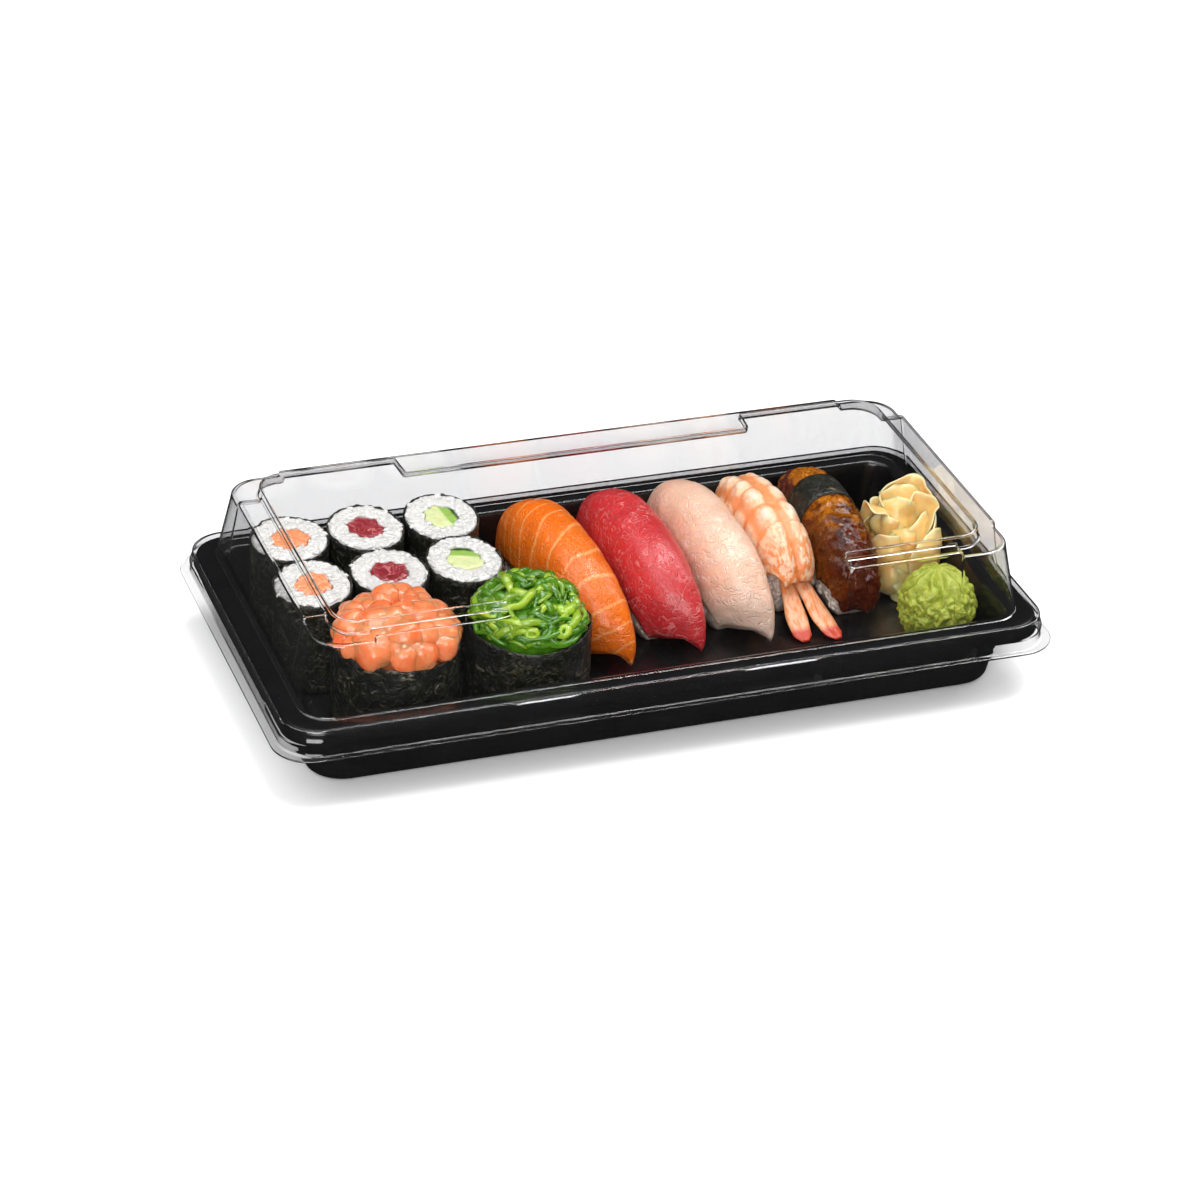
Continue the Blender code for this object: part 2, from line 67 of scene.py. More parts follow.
studio = {
    "azimuth": -21.115, "elevation": 30.597, "roll": 3.0,
    "lens": 120.956, "distance": 1.3211,
    "aimRight": -0.004665, "aimUp": -0.006154,      # how far the aim lies off the middle of the rim
    "world": 2.3, "horizon": 0.03, "worldLean": (-0.45, -0.1, 1.0), "worldFrom": 0.82, "worldTo": 1.05,
    "floor": (0.90, 0.90, 0.90),
    "lights": (                                     # x, y, z, size, watts
        ("lightTop", -0.50, -0.15, 1.60, 1.30, 3.5),
        ("lightRight", 1.30, 0.15, 1.35, 1.00, 12.0),
        ("lightEdge", 0.52, 0.24, 1.60, 0.56, 10.0),
        ("lightSpark", 0.10, -0.10, 1.60, 0.24, 5.0),
        ("lightFront", -0.60, -1.55, 0.80, 1.20, 27.0),
    ),
}


def makeCamera(s):
    azimuth, elevation, roll = (math.radians(s[k]) for k in ("azimuth", "elevation", "roll"))
    back = Vector((math.sin(azimuth) * math.cos(elevation), -math.cos(azimuth) * math.cos(elevation),
                   math.sin(elevation)))
    right = Vector((math.cos(azimuth), math.sin(azimuth), 0.0))
    up = right.cross(-back)
    right, up = right * math.cos(roll) + up * math.sin(roll), up * math.cos(roll) - right * math.sin(roll)
    spot = Vector((0, 0, rimZ)) + right * s["aimRight"] + up * s["aimUp"] + back * s["distance"]
    cam = bpy.data.objects.new("camera", bpy.data.cameras.new("camera"))
    cam.matrix_world = Matrix((
        (right.x, up.x, back.x, spot.x),
        (right.y, up.y, back.y, spot.y),
        (right.z, up.z, back.z, spot.z),
        (0, 0, 0, 1)))
    cam.data.lens = s["lens"]
    cam.data.sensor_width = 36.0
    cam.data.clip_start = 0.05
    cam.data.clip_end = 20.0
    bpy.context.scene.collection.objects.link(cam)
    bpy.context.scene.camera = cam


def makeLights(s):
    for name, x, y, z, size, watts in s["lights"]:
        lamp = bpy.data.lights.new(name, "AREA")
        lamp.shape = "SQUARE"
        lamp.size = size
        lamp.energy = watts
        thing = bpy.data.objects.new(name, lamp)
        thing.location = (x, y, z)
        thing.rotation_mode = "QUATERNION"
        thing.rotation_quaternion = Vector((x, y, z - rimZ)).to_track_quat("Z", "Y")
        bpy.context.scene.collection.objects.link(thing)


def makeWorld(s):
    world = bpy.data.worlds.new("studio")
    world.use_nodes = True
    tree = world.node_tree
    coord = tree.nodes.new("ShaderNodeTexCoord")
    lean = tree.nodes.new("ShaderNodeVectorMath")
    lean.operation = "DOT_PRODUCT"
    lean.inputs[1].default_value = s["worldLean"]    # bright overhead and in front, dark behind
    ramp = tree.nodes.new("ShaderNodeMapRange")
    ramp.interpolation_type = "SMOOTHSTEP"
    ramp.inputs["From Min"].default_value = s["worldFrom"]
    ramp.inputs["From Max"].default_value = s["worldTo"]
    ramp.inputs["To Min"].default_value = s["horizon"]
    ramp.inputs["To Max"].default_value = s["world"]
    tree.links.new(coord.outputs["Generated"], lean.inputs[0])
    tree.links.new(lean.outputs["Value"], ramp.inputs["Value"])
    sky = tree.nodes["Background"]
    sky.inputs["Color"].default_value = (1.0, 1.0, 1.0, 1.0)
    tree.links.new(ramp.outputs["Result"], sky.inputs["Strength"])
    bpy.context.scene.world = world


def makeFloor(s):
    side = 4.0
    mesh = bpy.data.meshes.new("studioFloor")
    corners = [(-side, -side, 0), (side, -side, 0), (side, side, 0), (-side, side, 0)]
    mesh.from_pydata(corners, [], [(0, 1, 2, 3)])
    look = bpy.data.materials.new("studioFloor")
    look.use_nodes = True
    shader = look.node_tree.nodes["Principled BSDF"]
    shader.inputs["Base Color"].default_value = (*s["floor"], 1.0)
    shader.inputs["Roughness"].default_value = 0.9
    shader.inputs["Specular IOR Level"].default_value = 0.1
    mesh.materials.append(look)
    floor = bpy.data.objects.new("studioFloor", mesh)
    floor.location.z = -0.0002
    floor.visible_glossy = False                    # a dark surround keeps the clear film clear
    bpy.context.scene.collection.objects.link(floor)
    floor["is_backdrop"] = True


makeCamera(studio)
makeLights(studio)
makeWorld(studio)
makeFloor(studio)
bpy.context.scene.view_settings.view_transform = "Standard"
print("camera, light and floor ready")


def newGroup(name, inputs, outputs):
    tree = bpy.data.node_groups.new(name, "ShaderNodeTree")
    for label, kind, value in inputs:
        socket = tree.interface.new_socket(label, in_out="INPUT", socket_type="NodeSocket" + kind)
        if value is not None:
            socket.default_value = value
    for label, kind in outputs:
        tree.interface.new_socket(label, in_out="OUTPUT", socket_type="NodeSocket" + kind)
    return tree, tree.nodes.new("NodeGroupInput"), tree.nodes.new("NodeGroupOutput")


def addNode(tree, kind, values=None, links=None, **settings):
    node = tree.nodes.new("ShaderNode" + kind)
    for key, value in settings.items():
        setattr(node, key, value)
    for key, value in (values or {}).items():
        node.inputs[key].default_value = value
    for key, source in (links or {}).items():
        tree.links.new(source, node.inputs[key])
    return node


def mixColors(tree, fac, low, high):
    node = tree.nodes.new("ShaderNodeMix")
    node.data_type = "RGBA"
    for index, source in ((0, fac), (6, low), (7, high)):
        if isinstance(source, (int, float)):
            node.inputs[index].default_value = source
        elif isinstance(source, tuple):
            node.inputs[index].default_value = (*source, 1.0) if len(source) == 3 else source
        else:
            tree.links.new(source, node.inputs[index])
    return node.outputs[2]


def math2(tree, operation, a, b=0.0):
    node = tree.nodes.new("ShaderNodeMath")
    node.operation = operation
    for index, source in ((0, a), (1, b)):
        if isinstance(source, (int, float)):
            node.inputs[index].default_value = source
        else:
            tree.links.new(source, node.inputs[index])
    return node.outputs[0]


def stepRange(tree, value, low, high, outLow=0.0, outHigh=1.0):
    node = addNode(tree, "MapRange", {"From Min": low, "From Max": high, "To Min": outLow, "To Max": outHigh},
                   {"Value": value}, interpolation_type="SMOOTHSTEP")
    return node.outputs["Result"]


def makeMottleGroup():
    # two colours mixed by a coarse and a fine noise
    tree, inside, outside = newGroup("mottle", (
        ("Size", "Float", 0.004), ("Fine", "Float", 0.4), ("Spread", "Float", 0.25), ("Warp", "Float", 0.0),
        ("Low", "Color", None), ("High", "Color", None)), (("Color", "Color"),))
    place = addNode(tree, "TexCoord").outputs["Object"]
    scale = math2(tree, "DIVIDE", 1.0, inside.outputs["Size"])
    coarse = addNode(tree, "TexNoise", {"Detail": 3.0, "Roughness": 0.55},
                     {"Vector": place, "Scale": scale, "Distortion": inside.outputs["Warp"]})
    fine = addNode(tree, "TexNoise", {"Detail": 2.0},
                   {"Vector": place, "Scale": math2(tree, "MULTIPLY", scale, 6.0)})
    both = addNode(tree, "Mix", {}, {0: inside.outputs["Fine"], 2: coarse.outputs[0], 3: fine.outputs[0]})
    low = math2(tree, "SUBTRACT", 0.5, inside.outputs["Spread"])
    high = math2(tree, "ADD", 0.5, inside.outputs["Spread"])
    mask = addNode(tree, "MapRange", {}, {"Value": both.outputs[0], "From Min": low, "From Max": high})
    color = mixColors(tree, mask.outputs["Result"], inside.outputs["Low"], inside.outputs["High"])
    tree.links.new(color, outside.inputs["Color"])
    return tree


def makeSkinGroup():
    # relief of a moist surface: soft swells, fine grain and thin curly lines
    tree, inside, outside = newGroup("moistRelief", (
        ("Size", "Float", 0.004), ("Grain", "Float", 0.5),
        ("Curls", "Float", 0.0), ("Curl Size", "Float", 0.004)),
        (("Height", "Float"), ("Lines", "Float")))
    place = addNode(tree, "TexCoord").outputs["Object"]
    scale = math2(tree, "DIVIDE", 1.0, inside.outputs["Size"])
    swell = addNode(tree, "TexNoise", {"Detail": 2.0}, {"Vector": place, "Scale": scale})
    grain = addNode(tree, "TexNoise", {"Detail": 3.0},
                    {"Vector": place, "Scale": math2(tree, "MULTIPLY", scale, 7.0)})
    curl = addNode(tree, "TexNoise", {"Detail": 0.5, "Distortion": 2.2},
                   {"Vector": place, "Scale": math2(tree, "DIVIDE", 1.0, inside.outputs["Curl Size"])})
    off = math2(tree, "ABSOLUTE", math2(tree, "SUBTRACT", curl.outputs[0], 0.5))
    lines = stepRange(tree, off, 0.055, 0.005)
    fine = math2(tree, "MULTIPLY", grain.outputs[0], inside.outputs["Grain"])
    curls = math2(tree, "MULTIPLY", lines, inside.outputs["Curls"])
    height = math2(tree, "ADD", math2(tree, "ADD", swell.outputs[0], fine), curls)
    tree.links.new(height, outside.inputs["Height"])
    tree.links.new(lines, outside.inputs["Lines"])
    return tree


groups = {"mottle": makeMottleGroup(), "moistRelief": makeSkinGroup()}


class Look:
    # one material under construction: its tree, its Principled shader and the layers laid over its colour

    def __init__(self, name, roughness=0.4, **sockets):
        self.material = bpy.data.materials.new(name)
        self.material.use_nodes = True
        self.tree = self.material.node_tree
        self.shader = self.tree.nodes["Principled BSDF"]
        self.shader.inputs["Roughness"].default_value = roughness
        for label, value in sockets.items():
            self.shader.inputs[label.replace("_", " ")].default_value = value
        self.color = None

    def group(self, name, values, colors=None):
        node = self.tree.nodes.new("ShaderNodeGroup")
        node.node_tree = groups[name]
        for label, value in values.items():
            node.inputs[label].default_value = value
        for label, value in (colors or {}).items():
            if isinstance(value, tuple):
                node.inputs[label].default_value = (*value, 1.0)
            else:
                self.tree.links.new(value, node.inputs[label])
        return node

    def mottle(self, low, high, size, spread=0.25, fine=0.4, warp=0.0):
        node = self.group("mottle", {"Size": size, "Spread": spread, "Fine": fine, "Warp": warp},
                          {"Low": low, "High": high})
        if self.color is None:
            self.color = node.outputs["Color"]
        return node

    def over(self, mask, color):
        self.color = mixColors(self.tree, mask, self.color, color)

    def lay(self):
        node = addNode(self.tree, "Attribute", attribute_name="lay")
        split = addNode(self.tree, "SeparateXYZ", {}, {0: node.outputs["Vector"]})
        return split.outputs["X"], split.outputs["Y"], split.outputs["Z"]

    def noise(self, size, detail=2.0, distortion=0.0, stretch=None):
        coord = addNode(self.tree, "TexCoord").outputs["Object"]
        if stretch:
            coord = addNode(self.tree, "Mapping", {"Scale": stretch}, {"Vector": coord}).outputs["Vector"]
        values = {"Scale": 1.0 / size, "Detail": detail, "Distortion": distortion}
        return addNode(self.tree, "TexNoise", values, {"Vector": coord}).outputs[0]

    def ramp(self, value, low, high, outLow=0.0, outHigh=1.0):
        return stepRange(self.tree, value, low, high, outLow, outHigh)

    def times(self, first, *others):
        for value in others:
            first = math2(self.tree, "MULTIPLY", first, value)
        return first

    def plus(self, a, b):
        return math2(self.tree, "ADD", a, b)

    def minus(self, a, b):
        return math2(self.tree, "SUBTRACT", a, b)

    def size(self, a):
        return math2(self.tree, "ABSOLUTE", a)

    def bump(self, height, distance, strength=1.0, normal=None):
        node = addNode(self.tree, "Bump", {"Distance": distance, "Strength": strength}, {"Height": height})
        if normal is not None:
            self.tree.links.new(normal, node.inputs["Normal"])
        self.tree.links.new(node.outputs["Normal"], self.shader.inputs["Normal"])
        return node.outputs["Normal"]

    def vary(self, socket, mask, low, high):
        self.tree.links.new(self.ramp(mask, 0.0, 1.0, low, high), self.shader.inputs[socket])

    def done(self):
        if self.color is not None:
            self.tree.links.new(self.color, self.shader.inputs["Base Color"])
        return self.material


def makeMesh(name, verts, faces, looks, lay=None, slots=None):
    mesh = bpy.data.meshes.new(name)
    mesh.from_pydata(np.asarray(verts).tolist(), [], faces)
    for look in looks if isinstance(looks, (list, tuple)) else [looks]:
        mesh.materials.append(look)
    if slots is not None:
        mesh.polygons.foreach_set("material_index", slots)
    if lay is not None:
        layer = mesh.attributes.new("lay", "FLOAT_VECTOR", "POINT")
        layer.data.foreach_set("vector", np.asarray(lay, dtype=np.float32).ravel())
    mesh.polygons.foreach_set("use_smooth", [True] * len(mesh.polygons))
    mesh.update()
    thing = bpy.data.objects.new(name, mesh)
    bpy.context.scene.collection.objects.link(thing)
    return thing


def settle(thing, nodes):
    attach(thing, "root")
    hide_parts(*nodes)


def bandFaces(rows, count, looped=False):
    # quads between rows of points; each row is closed on itself, and looped joins the last row to the first
    faces = []
    for r in range(rows if looped else rows - 1):
        low, high = r * count, ((r + 1) % rows) * count
        for i in range(count):
            j = (i + 1) % count
            faces.append((low + i, low + j, high + j, high + i))
    return faces


def lofted(rings, looped=False):
    # verts and faces of a closed skin over rings of points, with a fan at each end unless it is looped
    count = len(rings[0])
    verts = [p for ring in rings for p in ring]
    faces = bandFaces(len(rings), count, looped)
    if not looped:
        for ring, base, flip in ((rings[0], 0, True), (rings[-1], (len(rings) - 1) * count, False)):
            verts.append(tuple(sum(p[k] for p in ring) / count for k in range(len(ring[0]))))
            hub = len(verts) - 1
            for i in range(count):
                a, b = base + i, base + (i + 1) % count
                faces.append((b, a, hub) if flip else (a, b, hub))
    return verts, faces


def keepShape(thing):
    # keeps what the modifiers make as plain mesh
    graph = bpy.context.evaluated_depsgraph_get()
    done = bpy.data.meshes.new_from_object(thing.evaluated_get(graph))
    thing.modifiers.clear()
    old = thing.data
    thing.data = done
    bpy.data.meshes.remove(old)


def pointsOf(thing):
    mesh = thing.data
    co = np.empty(len(mesh.vertices) * 3, dtype=np.float32)
    mesh.vertices.foreach_get("co", co)
    normal = np.empty(len(mesh.vertices) * 3, dtype=np.float32)
    mesh.vertices.foreach_get("normal", normal)
    lay = np.zeros(len(mesh.vertices) * 3, dtype=np.float32)
    if "lay" in mesh.attributes:
        mesh.attributes["lay"].data.foreach_get("vector", lay)
    return co.reshape(-1, 3), normal.reshape(-1, 3), lay.reshape(-1, 3)


def swell(thing, push):
    # moves each point along its normal by push(place, lay)
    co, normal, lay = pointsOf(thing)
    away = np.array([push(Vector(c), l) for c, l in zip(co, lay)], dtype=np.float32)
    thing.data.vertices.foreach_set("co", (co + normal * away[:, None]).ravel())
    thing.data.update()


def ripple(place, size, seed=0.0, octaves=3):
    return noise.fractal(place / size + Vector((seed, 1.7 * seed, 0.3 * seed)), 1.0, 2.0, octaves)


def grainShape(length, width, bend=0.12, sides=6, rings=4):
    # one plump grain along x, a little bent
    verts = [(-length / 2, 0, 0)]
    for i in range(1, rings + 1):
        t = -1 + 2 * i / (rings + 1)
        radius = width / 2 * (1 - abs(t) ** 2.6) ** 0.5
        for j in range(sides):
            a = 2 * math.pi * j / sides
            verts.append((t * length / 2 * 0.98, radius * math.cos(a) + bend * width * t * t,
                          radius * math.sin(a) * 0.85))
    verts.append((length / 2, bend * width, 0))
    faces = [(0, 1 + (j + 1) % sides, 1 + j) for j in range(sides)]
    for i in range(rings - 1):
        for j in range(sides):
            a, b = 1 + i * sides, 1 + (i + 1) * sides
            k = (j + 1) % sides
            faces.append((a + j, a + k, b + k, b + j))
    last = 1 + (rings - 1) * sides
    faces += [(last + j, last + (j + 1) % sides, len(verts) - 1) for j in range(sides)]
    return np.array(verts), faces


def scattered(shapes, places):
    # joins copies of shapes; each place is (shape number, 3x3 matrix, location, value kept in lay)
    verts, faces, lay, base = [], [], [], 0
    for number, turn, spot, value in places:
        points, parts = shapes[number]
        verts.append(points @ np.asarray(turn).T + np.asarray(spot))
        faces += [tuple(base + i for i in part) for part in parts]
        lay.append(np.column_stack([points[:, :2], np.full(len(points), value)]))
        base += len(points)
    return np.vstack(verts), faces, np.vstack(lay)


def frameOn(normal, spin, tilt=0.0):
    # 3x3 matrix whose z is near normal, turned by spin about it and tilted a little
    z = Vector(normal).normalized()
    x = z.orthogonal().normalized()
    y = z.cross(x)
    basis = Matrix((x, y, z)).transposed()
    return np.array(basis @ Matrix.Rotation(spin, 3, "Z") @ Matrix.Rotation(tilt, 3, "Y"))


def joined(parts):
    # several (verts, faces, lay) as one
    verts, faces, lay, base = [], [], [], 0
    for v, f, l in parts:
        verts.append(np.asarray(v, dtype=float))
        faces += [tuple(base + i for i in part) for part in f]
        lay.append(np.asarray(l, dtype=float))
        base += len(v)
    return np.vstack(verts), faces, np.vstack(lay)


tray = {
    "rimX": 0.1268, "rimY": 0.0623, "rimCorner": 0.0110, "ledge": 0.0085, "lipDrop": 0.0052,
    "draft": 0.0022, "wallCorner": 0.0075, "footCorner": 0.0100, "footRound": 0.0030,
    "footWidth": 0.0030, "raise": 0.0036, "sheet": 0.0007,
    "black": (0.0045, 0.0046, 0.0050), "sheen": (0.0085, 0.0085, 0.0092),
    "roughness": 0.20,
}


def ringSpots(side, count):
    # even places along a straight side, both ends included
    return [-side + 2 * side * i / (count - 1) for i in range(count)]


def roundedRing(halfX, halfY, radius, z, alongX=60, alongY=30, steps=8):
    # a rounded rectangle, counter-clockwise from above, with extra points along its straight sides
    ring = []
    sideX, sideY = halfX - radius, halfY - radius
    edges = (((1, 0), (0, -1), sideX, halfY, alongX), ((0, 1), (1, 0), sideY, halfX, alongY),
             ((-1, 0), (0, 1), sideX, halfY, alongX), ((0, -1), (-1, 0), sideY, halfX, alongY))
    for n, (ahead, out, side, half, count) in enumerate(edges):
        for s in ringSpots(side, count):
            ring.append((ahead[0] * s + out[0] * half, ahead[1] * s + out[1] * half, z))
        cx = (ahead[0] + out[0]) * sideX
        cy = (ahead[1] + out[1]) * sideY
        start = math.radians(-90 + 90 * n)
        for i in range(1, steps):
            a = start + math.pi / 2 * i / steps
            ring.append((cx + radius * math.cos(a), cy + radius * math.sin(a), z))
    return ring


def makeTray(t):
    under = rimZ - t["sheet"]
    wallX = t["rimX"] - t["ledge"] + t["sheet"]
    wallY = t["rimY"] - t["ledge"] + t["sheet"]
    footX, footY = wallX - t["draft"] - t["footRound"], wallY - t["draft"] - t["footRound"]
    c, w, f = t["footCorner"], t["footWidth"], t["footRound"]
    profile = [                                     # half sizes, corner radius, height
        (footX - 0.030, footY - 0.030, c - 0.004, t["raise"]),
        (footX - w - 0.0060, footY - w - 0.0060, c - 0.0040, t["raise"]),
        (footX - w - 0.0018, footY - w - 0.0018, c - 0.0034, t["raise"]),
        (footX - w - 0.0010, footY - w - 0.0010, c - 0.0030, t["raise"] - 0.0002),
        (footX - w - 0.0004, footY - w - 0.0004, c - 0.0026, t["raise"] - 0.0010),
        (footX - w - 0.0001, footY - w - 0.0001, c - 0.0022, 0.0006),
        (footX - w + 0.0003, footY - w + 0.0003, c - 0.0020, 0.0001),
        (footX - w + 0.0008, footY - w + 0.0008, c - 0.0016, 0.0),
        (footX - 0.0004, footY - 0.0004, c - 0.0002, 0.0),
    ]
    for i in range(1, 7):
        a = math.pi / 2 * i / 6
        profile.append((footX + f * math.sin(a), footY + f * math.sin(a), c + 0.0012, f * (1 - math.cos(a))))
    steps = 8
    for i in range(1, steps + 1):
        k = i / steps
        profile.append((footX + f + t["draft"] * k, footY + f + t["draft"] * k,
                        c + 0.0012 + (t["wallCorner"] - c - 0.0012) * k, f + (under - 0.0010 - f) * k))
    rimC = t["rimCorner"]
    profile += [
        (wallX + 0.0002, wallY + 0.0002, t["wallCorner"], under - 0.0004),
        (wallX + 0.0005, wallY + 0.0005, t["wallCorner"] + 0.0002, under - 0.0001),
        (wallX + 0.0010, wallY + 0.0010, t["wallCorner"] + 0.0006, under),
        (t["rimX"] - 0.0014, t["rimY"] - 0.0014, rimC - 0.0010, under),
        (t["rimX"] - 0.0008, t["rimY"] - 0.0008, rimC - 0.0006, under - 0.0001),
        (t["rimX"] - 0.0004, t["rimY"] - 0.0004, rimC - 0.0003, under - 0.0004),
        (t["rimX"] - 0.0002, t["rimY"] - 0.0002, rimC, under - 0.0010),
        (t["rimX"], t["rimY"], rimC, rimZ - t["lipDrop"] + 0.0010),
        (t["rimX"] + 0.0001, t["rimY"] + 0.0001, rimC, rimZ - t["lipDrop"]),
    ]
    rings = [roundedRing(x, y, r, z) for x, y, r, z in profile]
    count = len(rings[0])
    verts = [p for ring in rings for p in ring]
    faces = bandFaces(len(rings), count)
    verts.append((0, 0, t["raise"]))
    faces += [((i + 1) % count, i, len(verts) - 1) for i in range(count)]
    look = Look("trayBlack", t["roughness"], Specular_IOR_Level=0.55)
    look.mottle(t["black"], t["sheen"], 0.030)
    look.vary("Roughness", look.noise(0.012), t["roughness"] - 0.05, t["roughness"] + 0.10)
    look.bump(look.noise(0.0035, 3.0), 0.00005, 0.6)
    thing = makeMesh("trayBase", verts, faces, look.done())
    work = bmesh.new()
    work.from_mesh(thing.data)
    bmesh.ops.recalc_face_normals(work, faces=work.faces)
    high = max(work.faces, key=lambda face: face.calc_center_median().z)
    if high.normal.z < 0:
        bmesh.ops.reverse_faces(work, faces=work.faces)
    work.to_mesh(thing.data)
    work.free()
    sheet = thing.modifiers.new("sheet", "SOLIDIFY")
    sheet.thickness = t["sheet"]
    sheet.offset = 1.0
    sheet.use_even_offset = True
    keepShape(thing)
    settle(thing, ["tray"])


makeTray(tray)
print("tray made")


lid = {
    "sheet": 0.0005, "skirtX": 0.1284, "skirtY": 0.0639, "skirtCorner": 0.0120, "skirtDrop": 0.0078,
    "flange": 0.0028, "footX": 0.1212, "footY": 0.0578, "topX": 0.1171, "topY": 0.0547, "corner": 0.0100,
    "stripZ": 0.0535, "stripX": 0.0075, "stripY": 0.0055, "padDrop": 0.0017, "padX": 0.0987, "padY": 0.0382,
    "panelZ": 0.0561, "panelCorner": 0.0088, "notchHalf": 0.0605, "notch": 0.0095, "step": 0.0008,
    "edge": 0.0006,
    "windows": ((-0.0557, -0.0345), (0.0207, 0.0470)), "windowDepth": -0.0011,
    "beadReach": 0.0180, "bead": 0.0005, "straightX": 0.0993, "straightY": 0.0389, "cornerSteps": 12,
    "clear": (0.80, 0.80, 0.805), "clearEdge": (0.50, 0.50, 0.51),
    "roughness": 0.02, "ior": 1.50, "softIor": 1.04,
    # the front edge is a soft curve along the middle; it fades in over these lengths, left and right
    "softIn": 0.0470, "softZ": 0.0480, "softFade": (0.0120, 0.0016),
}


def smoothStep(value, low, high):
    if low == high:
        return float(value >= low)
    t = max(0.0, min(1.0, (value - low) / (high - low)))
    return t * t * (3 - 2 * t)


def softEdge(y, z, x, share):
    # turns the stepped front edge into one soft curve along its middle
    d = lid
    if share is None:
        return y, z
    fade = d["softFade"][0 if x < 0 else 1]
    k = 1 - smoothStep(abs(x), d["notchHalf"] - fade, d["notchHalf"])
    wallZ = d["softZ"]
    wallY = d["topY"] + (d["footY"] - d["topY"]) * (d["stripZ"] - wallZ) / (d["stripZ"] - rimZ)
    a = math.pi / 2 * share
    softY = -d["softIn"] - (wallY - d["softIn"]) * math.sin(a) ** 0.9
    softZ = wallZ + (d["panelZ"] - wallZ) * math.cos(a) ** 0.9
    return y + (softY - y) * k, z + (softZ - z) * k


def lidRing(halfX, halfY, radius, level, cornerLevel, notch=0.0, spots=None, push=None, share=None):
    # one level line round the lid; notch pulls the middle of the long sides in
    d = lid
    ring = []
    half = d["step"] / 2
    longSpots, shortSpots = spots
    for n in range(4):
        sign = 1 if n < 2 else -1
        if n % 2 == 0:
            for s in longSpots:
                pull = notch * (1 - smoothStep(abs(s), d["notchHalf"] - half, d["notchHalf"] + half))
                low = smoothStep(abs(s), d["padX"] - half, d["padX"] + half)
                pull = 0.0 if share is not None and sign > 0 else pull
                y, z = sign * (pull - halfY), level + (cornerLevel - level) * low
                if sign > 0:
                    y, z = softEdge(y, z, s, share)
                ring.append((sign * s, y, z))
        else:
            for s in shortSpots:
                low = smoothStep(abs(s), d["padY"] - half, d["padY"] + half)
                ring.append((sign * halfX, sign * s, level + (cornerLevel - level) * low))
        cx = (halfX - radius) * (1 if n in (0, 1) else -1)
        cy = (halfY - radius) * (1 if n in (1, 2) else -1)
        start = math.radians(-90 + 90 * n)
        for i in range(d["cornerSteps"] + 1):
            a = start + math.pi / 2 * i / d["cornerSteps"]
            ring.append((cx + radius * math.cos(a), cy + radius * math.sin(a), cornerLevel))
    return [push(p) for p in ring] if push else ring


